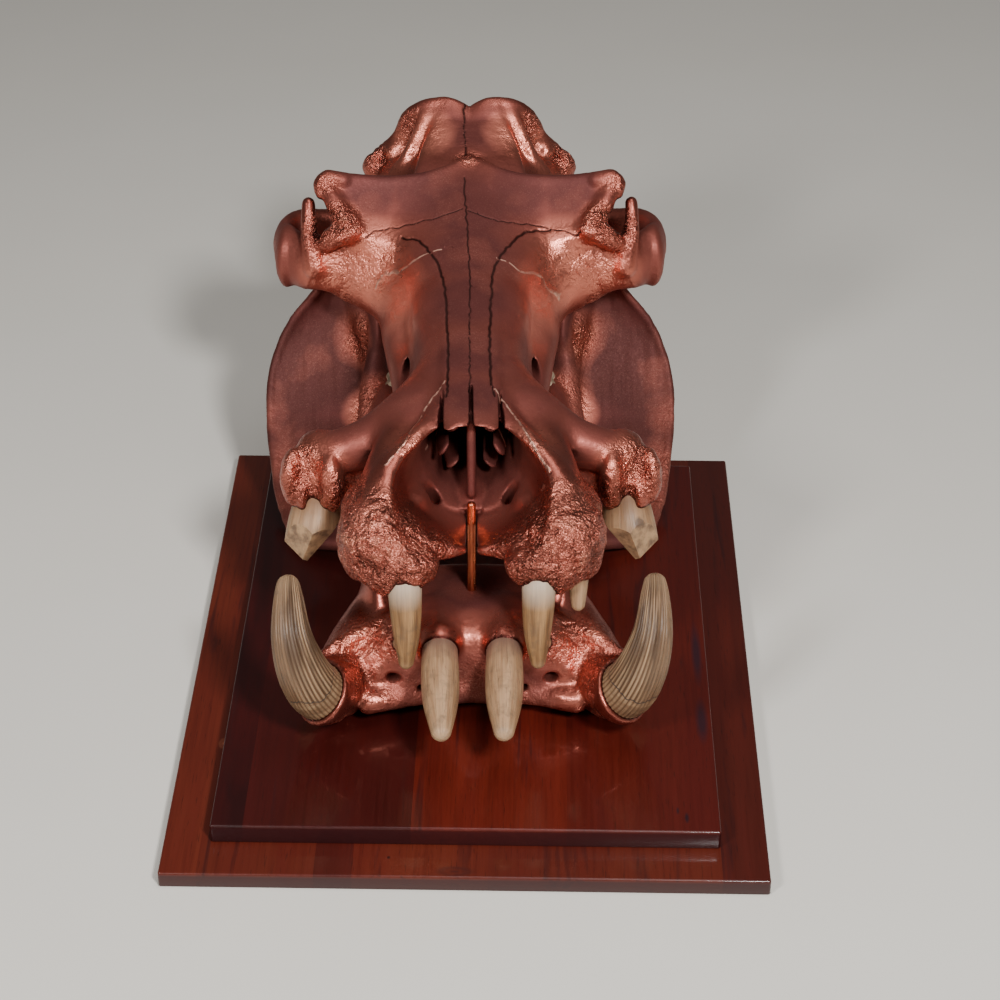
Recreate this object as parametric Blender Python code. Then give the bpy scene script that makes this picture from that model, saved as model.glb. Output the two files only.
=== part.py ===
"""A hippopotamus skull painted copper, with its own bare teeth, on a plinth of two wooden boards.

Sizes and places are in millimetres and are turned into metres where meshes are made.
The skull is written in its own frame: X to the side from its midline, Y backwards, Z up.
Y is counted from the front edge of the lower board and Z from the ground under it.
"""
import math

import bmesh
import bpy
import numpy as np
from mathutils import Euler, Matrix, Vector

MM = 0.001

# Plinth
PLINTH_WIDTH = 560.0
PLINTH_DEPTH = 720.0
LOWER_BOARD = 16.0
UPPER_BOARD = 20.0
BOARD_MARGIN = 44.0
BOARD_ROUND = 5.0
BOARD_ROUND_STEPS = 3
BOARD_TOP = LOWER_BOARD + UPPER_BOARD

# How the skull stands on the plinth
SKULL_TURN = math.radians(1.69)
SKULL_PIVOT_Y = 200.0
SKULL_SHIFT = 2.6

# Clearances and mesh fineness
GAP = 0.35
VOXEL = 4.0
CRANIUM_FACES = 3080
MANDIBLE_FACES = 1900
BONE_SMOOTHING = 4
HOLLOWED_SMOOTHING = 3
SIDES = 12

# Cheek teeth: name, middle Y, length and width of the crown
CHEEK_TEETH = [
    ("premolar_2", 442.0, 22.0, 17.0),
    ("premolar_3", 470.0, 27.0, 21.0),
    ("premolar_4", 499.0, 26.0, 25.0),
    ("molar_1", 533.0, 36.0, 30.0),
    ("molar_2", 577.0, 46.0, 36.0),
    ("molar_3", 630.0, 54.0, 36.0),
]
UPPER_GUM = 203.0
UPPER_CROWN = 189.0
LOWER_GUM = 163.0
LOWER_CROWN = 178.0
ROOT_DEPTH = 9.0

# Cheek tooth crowns: height of each ring as a share of the crown, and its width as a share of the widest
CROWN_RINGS = ((0.4, 1.0), (1.0, 0.84))
ROOT_WIDTH = 0.75
WAIST_BETWEEN_LOBES = 0.12
TWO_LOBED_FROM = 1.15
ROUND_CHEEK = 0.7
ROUND_END = 0.8

# Distance of the tooth rows from the midline, at the first and at the last cheek tooth
UPPER_ROW = (57.0, 67.0)
LOWER_ROW = (73.0, 77.0)

# The small incisor that the right side has lost
LOST_TOOTH = "upper_incisor_2_right"

ROD_RADIUS = 4.5
JAW_JOINT = [(112, 738, 252), (158, 732, 254)]
JAW_JOINT_RADIUS = 13
NECK_OPENING = [(0, 800, 262), (0, 880, 256)]
NECK_OPENING_RADIUS = 15
ROD_TOP = (0.0, 306.0, 226.0)
ROD_FOOT = (0.0, 284.0, 120.0)

COPPER = ((0.47, 0.18, 0.13, 1.0), 0.42, 0.85)
IVORY = ((0.66, 0.52, 0.36, 1.0), 0.45, 0.0)
WOOD = ((0.20, 0.030, 0.014, 1.0), 0.25, 0.0)


def place_on_plinth():
    """Matrix from the skull's frame, in metres, to the world: origin under the plinth's centre."""
    spot = Vector((SKULL_SHIFT, SKULL_PIVOT_Y - PLINTH_DEPTH / 2, 0.0)) * MM
    pivot = Vector((0.0, -SKULL_PIVOT_Y, 0.0)) * MM
    return Matrix.Translation(spot) @ Matrix.Rotation(SKULL_TURN, 4, "Z") @ Matrix.Translation(pivot)


def material(name, finish):
    """A plain Principled material from a colour, a roughness and a metallic value."""
    colour, roughness, metallic = finish
    made = bpy.data.materials.new(name)
    made.use_nodes = True
    shader = made.node_tree.nodes["Principled BSDF"]
    shader.inputs["Base Color"].default_value = colour
    shader.inputs["Roughness"].default_value = roughness
    shader.inputs["Metallic"].default_value = metallic
    return made


def curve_through(rows, count):
    """Points on a smooth curve through the given rows, which may carry more than a place."""
    rows = np.asarray(rows, float)
    if len(rows) == 2:
        share = np.linspace(0, 1, count)[:, None]
        return rows[0] * (1 - share) + rows[1] * share
    ends = np.vstack([2 * rows[0] - rows[1], rows, 2 * rows[-1] - rows[-2]])
    steps = np.linspace(0, len(rows) - 1, count)
    first = np.clip(steps.astype(int), 0, len(rows) - 2)
    t = (steps - first)[:, None]
    a, b, c, d = ends[first], ends[first + 1], ends[first + 2], ends[first + 3]
    return 0.5 * (2 * b + (c - a) * t + (2 * a - 5 * b + 4 * c - d) * t**2 + (3 * b - a - 3 * c + d) * t**3)


def bridge(shell, rings):
    """Join rings of points into one closed tube of triangles with filled ends.

    Triangles keep a tooth and its slightly larger socket parallel where a four-sided face would be warped.
    """
    made = [[shell.verts.new(Vector(p) * MM) for p in ring] for ring in rings]
    count = len(made[0])
    for low, high in zip(made[:-1], made[1:]):
        for i in range(count):
            j = (i + 1) % count
            shell.faces.new((low[i], low[j], high[j]))
            shell.faces.new((low[i], high[j], high[i]))
    shell.faces.new(made[0][::-1])
    shell.faces.new(made[-1])


class Bone:
    """A mesh that gathers overlapping closed shells, to be fused into one bone."""

    def __init__(self):
        self.shell = bmesh.new()

    def ball(self, centre, radii, angles=(0, 0, 0)):
        """An ellipsoid, its angles in degrees."""
        spot = Matrix.Translation(Vector(centre) * MM)
        spin = Euler([math.radians(a) for a in angles]).to_matrix().to_4x4()
        size = Matrix.Diagonal((*(r * MM for r in radii), 1.0))
        bmesh.ops.create_icosphere(self.shell, subdivisions=3, radius=1.0, matrix=spot @ spin @ size)

    def limb(self, points, radii, flat=1.0, normal=(1, 0, 0), sides=SIDES, steps=5):
        """A tube along a smooth path with round ends. flat thins it along normal."""
        count = len(points)
        radii = np.broadcast_to(np.asarray(radii, float), (count,))
        flats = np.broadcast_to(np.asarray(flat, float), (count,))
        normals = np.broadcast_to(np.asarray(normal, float), (count, 3))
        rows = np.column_stack([np.asarray(points, float), radii, flats, normals])
        rows = curve_through(rows, 1 + steps * (count - 1))
        ways = np.gradient(rows[:, :3], axis=0)
        ways /= np.linalg.norm(ways, axis=1)[:, None]
        rings = []
        last = len(rows) - 1
        turns = np.radians((20, 60) if steps < 3 else (12, 40, 68))
        caps = [(0, -math.cos(a), math.sin(a)) for a in turns]
        caps += [(i, 0.0, 1.0) for i in range(last + 1)]
        caps += [(last, math.cos(a), math.sin(a)) for a in turns[::-1]]
        for i, push, share in caps:
            along = Vector(ways[i])
            across = Vector(rows[i, 5:8])
            across = (across - along * across.dot(along)).normalized()
            side = along.cross(across)
            radius = rows[i, 3]
            middle = Vector(rows[i, :3]) + along * (push * radius * min(1.0, rows[i, 4] * 1.6))
            ring = []
            for a in np.linspace(0, 2 * math.pi, sides, endpoint=False):
                thin = across * (math.cos(a) * radius * rows[i, 4] * share)
                wide = side * (math.sin(a) * radius * share)
                ring.append(middle + thin + wide)
            rings.append(ring)
        bridge(self.shell, rings)

    def loft(self, sections, power=2.4, sides=24):
        """Superellipse sections along Y: y, half width, middle z, height above and depth below it."""
        rings = []
        for y, width, middle, above, below in curve_through(sections, 4 * len(sections)):
            ring = []
            for a in np.linspace(0, 2 * math.pi, sides, endpoint=False):
                c, s = math.cos(a), math.sin(a)
                x = math.copysign(abs(c) ** (2 / power), c) * width
                z = math.copysign(abs(s) ** (2 / power), s) * (above if s > 0 else below)
                ring.append((x, y, middle + z))
            rings.append(ring[::-1])
        bridge(self.shell, rings)

    def sheet(self, inner, outer, thickness, bow=(0, 0, 0), count=24, across=7):
        """A closed plate ruled between two smooth edges, bowed out in its middle."""
        start = curve_through(inner, count)
        end = curve_through(outer, count)
        shares = np.linspace(0, 1, across)[None, :, None]
        swell = np.sin(math.pi * shares) * np.asarray(bow, float)
        grid = start[:, None] + (end - start)[:, None] * shares + swell
        normals = np.cross(np.gradient(grid, axis=0), np.gradient(grid, axis=1))
        normals /= np.linalg.norm(normals, axis=2)[:, :, None]
        top = grid + normals * thickness / 2
        bottom = grid - normals * thickness / 2
        rings = [np.vstack([top[i], bottom[i][::-1]]) for i in range(count)]
        bridge(self.shell, rings)

    def both_sides(self):
        """Add the mirror image across the midline."""
        kept = self.shell.verts[:] + self.shell.edges[:] + self.shell.faces[:]
        copy = bmesh.ops.duplicate(self.shell, geom=kept)["geom"]
        points = [g for g in copy if isinstance(g, bmesh.types.BMVert)]
        faces = [g for g in copy if isinstance(g, bmesh.types.BMFace)]
        bmesh.ops.scale(self.shell, verts=points, vec=(-1, 1, 1))
        bmesh.ops.reverse_faces(self.shell, faces=faces)

    def object(self, name):
        """A scene object that holds the shells, with every shell facing outwards."""
        bmesh.ops.recalc_face_normals(self.shell, faces=self.shell.faces[:])
        mesh = bpy.data.meshes.new(name)
        self.shell.to_mesh(mesh)
        self.shell.free()
        made = bpy.data.objects.new(name, mesh)
        bpy.context.scene.collection.objects.link(made)
        return made


def settle(thing):
    """Put the result of an object's modifiers into its mesh."""
    graph = bpy.context.evaluated_depsgraph_get()
    result = bpy.data.meshes.new_from_object(thing.evaluated_get(graph))
    thing.modifiers.clear()
    old = thing.data
    result.name = thing.name
    thing.data = result
    bpy.data.meshes.remove(old)


def fuse(thing, voxel=VOXEL, smoothing=6):
    """Melt overlapping shells into one skin."""
    melt = thing.modifiers.new("melt", "REMESH")
    melt.mode = "VOXEL"
    melt.voxel_size = voxel * MM
    if smoothing:
        soften = thing.modifiers.new("soften", "SMOOTH")
        soften.factor = 0.5
        soften.iterations = smoothing
    settle(thing)


def carve(thing, cutter):
    """Cut one object's shape out of another, and drop the cutter."""
    cut = thing.modifiers.new("cut", "BOOLEAN")
    cut.operation = "DIFFERENCE"
    cut.solver = "EXACT"
    cut.object = cutter
    cutter.hide_render = True
    cutter.display_type = "WIRE"
    settle(thing)
    bpy.data.objects.remove(cutter)


def join_shells(thing, other):
    """Move another object's shells into this object's mesh."""
    shell = bmesh.new()
    shell.from_mesh(thing.data)
    shell.from_mesh(other.data)
    shell.to_mesh(thing.data)
    shell.free()
    bpy.data.objects.remove(other)


def thin_out(thing, faces):
    """Bring a fused bone down to about the given number of triangles."""
    thing.data.calc_loop_triangles()
    light = thing.modifiers.new("light", "DECIMATE")
    light.ratio = faces / len(thing.data.loop_triangles)
    settle(thing)


def finish(thing, finish_material):
    """Give an object its material and soft shading, and stand it on the plinth."""
    thing.data.materials.clear()
    thing.data.materials.append(finish_material)
    for face in thing.data.polygons:
        face.material_index = 0
    thing.data.shade_smooth()
    thing.data.set_sharp_from_angle(angle=math.radians(60))
    thing.matrix_world = place_on_plinth()


def cranium_forms(bone):
    """The upper skull, right half, as overlapping forms."""
    # Rostrum, from under the nasal tips to the eye sockets, and the narrow part behind them
    bone.loft([
        (296, 44, 262, 44, 50),
        (350, 54, 262, 52, 56),
        (420, 56, 264, 56, 62),
        (480, 58, 268, 60, 64),
        (540, 64, 272, 66, 68),
        (600, 78, 280, 66, 76),
        (650, 76, 288, 60, 82),
        (690, 60, 296, 60, 72),
    ], power=2.1)
    bone.loft([
        (670, 58, 298, 64, 70),
        (710, 50, 300, 66, 62),
        (745, 54, 302, 66, 56),
        (785, 70, 304, 70, 54),
        (820, 62, 300, 76, 50),
    ])
    # Frontal plate, spread between the eye sockets, with raised and hooked ends
    bone.loft([
        (548, 62, 314, 26, 34),
        (596, 92, 320, 30, 46),
        (640, 118, 334, 28, 44),
        (682, 132, 354, 15, 18),
        (706, 112, 362, 8, 8),
    ], power=2.8)
    bone.ball((106, 622, 306), (34, 28, 44), (0, 0, 30))
    bone.limb([(92, 648, 352), (122, 672, 366), (152, 682, 383)], [18, 17, 9], 0.7, (0, 0, 1))
    bone.limb([(96, 692, 364), (130, 688, 374), (156, 684, 387), (164, 678, 378)], [10, 10, 8, 4])
    bone.limb([(0, 700, 362), (60, 698, 362), (110, 690, 366)], [12, 10, 9])
    # Rim of the eye socket and the finger of cheek bone behind it
    bone.limb([(100, 596, 326), (128, 616, 342), (146, 642, 366)], [26, 20, 12])
    bone.limb([(168, 644, 316), (172, 654, 344), (168, 663, 374)], [13, 9, 6])
    # Cheek, from the rostrum to the start of the arch
    bone.sheet(
        [(60, 556, 318), (98, 594, 332), (134, 622, 342), (172, 652, 326)],
        [(62, 580, 232), (96, 616, 242), (132, 646, 248), (178, 672, 268)],
        24, (14, -14, 0), count=12)
    bone.limb([(66, 586, 262), (110, 628, 272), (150, 656, 294)], [34, 32, 30], 0.6, (0.7, -0.7, 0))
    # Cheek arch
    bone.limb(
        [(160, 660, 300), (190, 678, 308), (203, 708, 310), (186, 742, 304), (146, 758, 292), (84, 762, 286)],
        [34, 37, 28, 24, 22, 30], [0.45, 0.42, 0.45, 0.55, 0.8, 0.9],
        [(0.6, -0.8, 0), (0.9, -0.4, 0), (1, 0, 0), (0.8, 0.6, 0), (0.2, 1, 0), (0, 1, 0)])
    bone.ball((122, 756, 268), (18, 10, 14))
    # Crest at the back, its lobes, and the walls that rise to it
    bone.limb([(0, 716, 362), (0, 765, 384), (0, 806, 402)], [13, 13, 12])
    bone.sheet(
        [(0, 716, 362), (0, 765, 384), (0, 812, 402)],
        [(40, 722, 326), (64, 776, 330), (92, 830, 330)],
        22, (10, 0, 8), count=14)
    bone.limb([(30, 750, 330), (66, 792, 332), (92, 822, 328)], [34, 28, 18])
    bone.limb(
        [(0, 812, 405), (22, 816, 411), (48, 820, 403), (66, 825, 386), (80, 830, 362), (98, 832, 338), (100, 828, 296)],
        [8, 9, 11, 12, 12, 12, 12], 0.8, (0, 1, 0))
    bone.sheet(
        [(0, 808, 402), (24, 810, 405), (50, 818, 395), (74, 824, 360), (94, 826, 326), (94, 822, 292)],
        [(0, 818, 300), (14, 818, 300), (24, 818, 298), (32, 818, 292), (40, 818, 284), (40, 818, 270)],
        20, count=16)
    # Base of the braincase with the joints for the neck
    bone.ball((0, 776, 258), (44, 70, 24))
    bone.ball((103, 826, 330), (16, 14, 20))
    bone.ball((30, 836, 262), (22, 18, 22), (0, 0, -25))
    bone.limb([(78, 806, 286), (82, 808, 252), (84, 806, 228)], [20, 14, 7])
    bone.ball((62, 768, 244), (17, 24, 17))
    bone.limb([(34, 682, 214), (32, 712, 226), (30, 744, 244)], [12, 9, 8], 0.6, (1, 0, 0))
    # Tooth-bearing ridges of the palate
    bone.limb([(56, 420, 216), (58, 520, 218), (64, 600, 218), (66, 655, 222)], [15, 18, 21, 20])
    # Muzzle: the flare to the canine, the canine's pillar and its groove's flanks
    bone.limb([(36, 420, 268), (66, 378, 264), (104, 364, 254), (146, 364, 240)], [38, 31, 26, 26])
    bone.limb([(150, 376, 246), (158, 366, 224), (156, 352, 204)], [26, 28, 26])
    bone.ball((172, 360, 224), (17, 24, 30), (0, 0, 15))
    bone.ball((138, 342, 224), (16, 20, 32), (0, 0, -15))
    bone.limb([(60, 380, 222), (100, 374, 214), (140, 370, 210)], [22, 22, 22])
    # Front of the muzzle: the swollen ends that carry the incisors
    bone.limb([(56, 372, 270), (68, 320, 258), (80, 268, 240)], [24, 26, 32])
    bone.limb([(46, 300, 282), (60, 270, 258)], [10, 18])
    bone.ball((86, 246, 226), (42, 44, 38))
    bone.ball((100, 284, 224), (28, 34, 30))
    bone.ball((64, 214, 210), (22, 18, 26))
    bone.ball((100, 234, 206), (22, 20, 22))
    bone.limb([(60, 320, 212), (44, 290, 205), (22, 258, 198)], [22, 15, 7], 0.8, (0, 0, 1))


def nasal_hollow(bone):
    """The hollow behind the nostril, open to the front and down between the incisors."""
    bone.limb(
        [(0, 170, 264), (0, 240, 264), (0, 305, 260), (0, 390, 262), (0, 440, 268)],
        [54, 52, 47, 36, 18])
    bone.limb([(0, 180, 206), (0, 215, 206), (0, 248, 206)], [44, 32, 10])


def nasal_bones_inside(bone):
    """Nasal bones that roof the nostril, and the septum and scroll bones that show inside it."""
    bone.limb([(12, 290, 306), (15, 360, 311), (19, 460, 322)], [9, 11, 12], 0.55, (0, 0, 1))
    bone.sheet([(0, 312, 292), (0, 360, 296), (0, 450, 300)], [(0, 296, 226), (0, 350, 224), (0, 450, 226)], 5)
    bone.limb([(22, 312, 276), (22, 360, 278), (22, 440, 280)], [10, 12, 12])
    bone.limb([(26, 322, 244), (26, 370, 248), (24, 440, 256)], [9, 10, 10])
    bone.limb([(0, 300, 214), (0, 360, 214), (0, 430, 216)], [12, 14, 14])


def braincase_hollows(bone):
    """The opening at the back where the neck joins."""
    bone.limb(NECK_OPENING, NECK_OPENING_RADIUS)


def mandible_forms(bone):
    """The lower jaw, right half, as overlapping forms."""
    # Front block where the halves are grown together
    bone.loft([
        (206, 92, 90, 32, 44),
        (222, 112, 90, 44, 52),
        (256, 116, 94, 46, 58),
        (300, 106, 98, 44, 58),
        (345, 98, 104, 36, 44),
    ])
    # Sockets of the canines
    bone.limb([(94, 320, 100), (116, 262, 90), (134, 214, 80), (143, 186, 76)], [46, 45, 40, 34])
    bone.limb([(140, 204, 62), (148, 178, 60)], [24, 16])
    # Body with the tooth row
    bone.limb(
        [(92, 320, 106), (85, 380, 108), (80, 460, 110), (80, 540, 112), (86, 610, 116)],
        [54, 55, 56, 57, 60], [0.5, 0.46, 0.44, 0.44, 0.42])
    # Upright part with its front spur and the joint
    bone.sheet(
        [(90, 604, 148), (96, 650, 172), (100, 674, 216), (104, 684, 256)],
        [(96, 640, 90), (104, 690, 130), (116, 722, 190), (124, 734, 236)],
        20, count=14)
    bone.limb([(100, 670, 208), (102, 684, 258), (104, 698, 296)], [26, 19, 8], 0.4)
    bone.limb([(112, 700, 200), (124, 724, 232), (134, 736, 250)], [24, 19, 14], 0.8)
    bone.limb(JAW_JOINT, JAW_JOINT_RADIUS)
    # Flared angle of the jaw, a wide thin plate with a rolled edge
    inner = [(122, 724, 226), (112, 706, 190), (104, 676, 150), (98, 640, 116), (94, 600, 96), (90, 560, 84),
             (88, 520, 80), (88, 490, 84)]
    outer = [(168, 712, 238), (200, 706, 196), (219, 682, 152), (221, 646, 112), (214, 600, 78), (204, 560, 56),
             (182, 510, 48), (140, 486, 56)]
    bone.sheet(inner, outer, 13, (6, 8, 0))
    bone.limb(outer, [7, 9, 9, 9, 9, 10, 11, 9])


def tooth(name, points, radii, steps=1, sides=8):
    """A pair of matching tools for one tooth: its solid, and the slightly larger cutter of its socket."""
    made = []
    for label, extra in ((name, 0.0), (name + "_socket", GAP)):
        bone = Bone()
        bone.limb(points, [r + extra for r in radii], sides=sides, steps=steps)
        made.append(bone.object(label))
    return made


FRONT_TEETH = [
    ("upper_canine", "cranium", [(156, 374, 232), (155, 350, 198), (153, 318, 171), (151, 296, 156)], [19, 22, 21, 10]),
    ("upper_incisor_1", "cranium", [(63, 236, 222), (62, 205, 192), (62, 195, 150), (63, 189, 112)], [15, 16, 13, 6]),
    ("upper_incisor_2", "cranium", [(101, 250, 216), (101, 228, 190), (101, 218, 158)], [8, 10, 6]),
    ("lower_canine", "mandible",
     [(116, 262, 80), (130, 210, 76), (145, 178, 90), (160, 164, 126), (169, 172, 163), (172, 196, 192), (172, 214, 200)],
     [22, 27, 28, 24, 19, 12, 6]),
    ("lower_incisor_1", "mandible", [(31, 290, 112), (31, 220, 118), (30, 150, 109), (29, 96, 100)], [15, 17, 17.5, 9]),
    ("lower_incisor_2", "mandible", [(70, 250, 112), (70, 224, 118), (70, 214, 120)], [6, 6.5, 5]),
]


def cheek_tooth(name, side, tooth_place, gum, crown, spread):
    """A low crown with rounded corners and a waist between its two lobes, and its buried root."""
    middle_y, length, width = tooth_place
    up = 1 if crown > gum else -1
    tall = abs(crown - gum)
    bone = Bone()
    rings = []
    levels = [(-ROOT_DEPTH, ROOT_WIDTH)] + [(rise * tall, share) for rise, share in CROWN_RINGS]
    for height, share in levels:
        ring = []
        for a in np.linspace(0, 2 * math.pi, 10, endpoint=False):
            c, s = math.cos(a), math.sin(a)
            lobes = 1 - WAIST_BETWEEN_LOBES * (1 - abs(s)) if length > width * TWO_LOBED_FROM else 1.0
            x = math.copysign(abs(c) ** ROUND_CHEEK, c) * width / 2 * share * lobes
            y = math.copysign(abs(s) ** ROUND_END, s) * length / 2 * share
            ring.append((side * spread + x, middle_y + y, gum + up * height))
        rings.append(ring if up > 0 else ring[::-1])
    bridge(bone.shell, rings)
    return bone.object(name)


def tooth_trough(side, upper):
    """The cutter that makes room for one row of cheek teeth: a trough as wide as each tooth."""
    gum, up = (UPPER_GUM, -1) if upper else (LOWER_GUM, 1)
    floor = gum - up * (ROOT_DEPTH + GAP)
    mouth = gum + up * 2 * ROOT_DEPTH
    bone = Bone()
    rings = []
    for name, middle_y, length, width in CHEEK_TEETH:
        spread = side * row_spread(middle_y, upper)
        for end in (-1, 1):
            y = middle_y + end * (length / 2 + GAP)
            half = width / 2 + GAP
            rings.append([(spread - half, y, floor), (spread + half, y, floor),
                          (spread + half, y, mouth), (spread - half, y, mouth)])
    bridge(bone.shell, rings)
    return bone.object("tooth_trough")


def row_spread(middle_y, upper):
    """How far from the midline the middle of a cheek tooth stands."""
    share = (middle_y - CHEEK_TEETH[0][1]) / (CHEEK_TEETH[-1][1] - CHEEK_TEETH[0][1])
    first, last = UPPER_ROW if upper else LOWER_ROW
    return first + (last - first) * share


def build_teeth(ivory):
    """Every tooth as its own object, and the socket cutters of each jaw."""
    sockets = {"cranium": [], "mandible": []}
    for name, jaw, points, radii in FRONT_TEETH:
        for side, label in ((1, "left"), (-1, "right")):
            placed = [(side * x, y, z) for x, y, z in points]
            solid, socket = tooth(name + "_" + label, placed, radii)
            sockets[jaw].append(socket)
            if name + "_" + label == LOST_TOOTH:
                bpy.data.objects.remove(solid)
            else:
                finish(solid, ivory)
    for side, label in ((1, "left"), (-1, "right")):
        for jaw, row, gum, crown in (("cranium", "upper", UPPER_GUM, UPPER_CROWN),
                                     ("mandible", "lower", LOWER_GUM, LOWER_CROWN)):
            sockets[jaw].append(tooth_trough(side, row == "upper"))
            for name, *tooth_place in CHEEK_TEETH:
                spread = row_spread(tooth_place[0], row == "upper")
                solid = cheek_tooth("_".join((row, name, label)), side, tooth_place, gum, crown, spread)
                finish(solid, ivory)
    return sockets


def rod_between(name, radius, start, end, sides=12):
    """A plain round rod."""
    bone = Bone()
    start, end = Vector(start), Vector(end)
    turn = (end - start).to_track_quat("Z", "Y").to_matrix()
    rings = []
    for spot in (start, end):
        ring = []
        for a in np.linspace(0, 2 * math.pi, sides, endpoint=False):
            ring.append(spot + turn @ Vector((radius * math.cos(a), radius * math.sin(a), 0)))
        rings.append(ring)
    bridge(bone.shell, rings)
    return bone.object(name)


def block(name, low, high):
    """A plain box between two corners."""
    bone = Bone()
    low, high = Vector(low), Vector(high)
    size = Matrix.Diagonal((*((high - low) * MM), 1.0))
    bmesh.ops.create_cube(bone.shell, size=1.0, matrix=Matrix.Translation((low + high) / 2 * MM) @ size)
    return bone.object(name)


def board(name, half_width, front, back, low, high, wood):
    """One plinth board, its upper edges rounded over."""
    made = block(name, (-half_width, front, low), (half_width, back, high))
    shell = bmesh.new()
    shell.from_mesh(made.data)
    top = [e for e in shell.edges if all(abs(v.co.z - high * MM) < 1e-6 for v in e.verts)]
    bmesh.ops.bevel(shell, geom=top, offset=BOARD_ROUND * MM, segments=BOARD_ROUND_STEPS, affect="EDGES", profile=0.5)
    shell.to_mesh(made.data)
    shell.free()
    made.data.materials.append(wood)
    made.data.shade_smooth()
    made.data.set_sharp_from_angle(angle=math.radians(40))
    made.location.y = -PLINTH_DEPTH / 2 * MM
    return made


def gather(name, things):
    """Put several separate closed shells into one cutter."""
    made = things[0]
    made.name = name
    for other in things[1:]:
        join_shells(made, other)
    return made


def build_cranium(copper, sockets):
    """The upper skull as one bone."""
    bone = Bone()
    cranium_forms(bone)
    bone.both_sides()
    cranium = bone.object("cranium")
    fuse(cranium, smoothing=BONE_SMOOTHING)
    hollow = Bone()
    nasal_hollow(hollow)
    cutter = hollow.object("nasal_hollow")
    fuse(cutter, smoothing=0)
    carve(cranium, cutter)
    back = Bone()
    braincase_hollows(back)
    carve(cranium, back.object("neck_opening"))
    inside = Bone()
    nasal_bones_inside(inside)
    inside.both_sides()
    join_shells(cranium, inside.object("inside"))
    fuse(cranium, smoothing=HOLLOWED_SMOOTHING)
    thin_out(cranium, CRANIUM_FACES)
    joint = Bone()
    joint.limb(JAW_JOINT, JAW_JOINT_RADIUS + 2 * GAP)
    joint.both_sides()
    carve(cranium, gather("cranium_room", sockets + [joint.object("jaw_joint_room")]))
    finish(cranium, copper)
    return cranium


def build_mandible(copper, sockets):
    """The lower jaw as one bone, flat where it touches the board."""
    bone = Bone()
    mandible_forms(bone)
    bone.both_sides()
    mandible = bone.object("mandible")
    fuse(mandible, smoothing=BONE_SMOOTHING)
    thin_out(mandible, MANDIBLE_FACES)
    beyond = 2 * PLINTH_DEPTH
    ground = block("ground_room", (-beyond, -beyond, -beyond), (beyond, beyond, BOARD_TOP + GAP))
    carve(mandible, gather("mandible_room", sockets + [ground]))
    finish(mandible, copper)
    return mandible


def main():
    for old in list(bpy.data.objects):
        bpy.data.objects.remove(old)
    copper = material("copper_paint", COPPER)
    ivory = material("bare_tooth", IVORY)
    wood = material("varnished_wood", WOOD)
    sockets = build_teeth(ivory)
    for jaw in sockets.values():
        jaw.append(rod_between("rod_hole", ROD_RADIUS + GAP, ROD_FOOT, ROD_TOP))
    build_cranium(copper, sockets["cranium"])
    build_mandible(copper, sockets["mandible"])
    rod = rod_between("jaw_prop_rod", ROD_RADIUS, ROD_FOOT, ROD_TOP)
    finish(rod, copper)
    board("plinth_lower_board", PLINTH_WIDTH / 2, 0, PLINTH_DEPTH, 0, LOWER_BOARD, wood)
    board("plinth_upper_board", PLINTH_WIDTH / 2 - BOARD_MARGIN, BOARD_MARGIN, PLINTH_DEPTH - BOARD_MARGIN,
          LOWER_BOARD + GAP, BOARD_TOP, wood)


main()
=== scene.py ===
"""The looks of a hippopotamus skull in copper paint, with bare teeth, on a varnished wooden plinth.

Bones are worked out in the skull's own frame, in millimetres: X to the animal's left from its midline,
Y backwards from the front edge of the plinth, Z up from the ground. Meshes are in metres.
"""
import math
from contextlib import contextmanager

import bmesh
import bpy
import numpy as np
from mathutils import Matrix, Vector


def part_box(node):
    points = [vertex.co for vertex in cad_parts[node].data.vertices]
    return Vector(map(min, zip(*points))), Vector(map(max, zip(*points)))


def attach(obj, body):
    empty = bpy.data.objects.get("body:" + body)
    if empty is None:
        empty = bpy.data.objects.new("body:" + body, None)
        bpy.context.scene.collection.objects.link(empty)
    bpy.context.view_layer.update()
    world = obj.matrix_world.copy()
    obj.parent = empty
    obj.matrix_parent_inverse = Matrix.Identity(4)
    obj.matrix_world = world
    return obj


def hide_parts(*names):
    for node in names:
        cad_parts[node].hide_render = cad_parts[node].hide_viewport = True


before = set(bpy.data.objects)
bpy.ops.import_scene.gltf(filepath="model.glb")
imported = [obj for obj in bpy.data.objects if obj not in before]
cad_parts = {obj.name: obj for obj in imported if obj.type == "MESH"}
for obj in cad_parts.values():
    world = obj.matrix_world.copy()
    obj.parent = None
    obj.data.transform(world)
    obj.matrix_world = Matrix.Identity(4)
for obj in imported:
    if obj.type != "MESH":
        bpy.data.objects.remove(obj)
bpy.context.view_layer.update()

MM = 0.001

# How the skull stands on the plinth, as in the solids
SKULL_TURN = math.radians(1.69)
SKULL_PIVOT_Y = 200.0
SKULL_SHIFT = 2.6
PLINTH_HALF_DEPTH = (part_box("plinth_lower_board")[1].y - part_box("plinth_lower_board")[0].y) / MM / 2
BOARD_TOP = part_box("plinth_upper_board")[1].z / MM
# How far the lower jaw's foot and its relief stay above the board, in millimetres
FOOT_GAP, SKIN_GAP = 0.35, 0.4

# Fineness of the bones
CELL = 2.0
MOST_TRIANGLES = {"cranium": 138000, "mandible": 190000}

CRANIUM_LOW, CRANIUM_HIGH = (0, 180, 180), (232, 872, 432)
MANDIBLE_LOW, MANDIBLE_HIGH = (0, 130, 24), (244, 772, 322)


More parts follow.
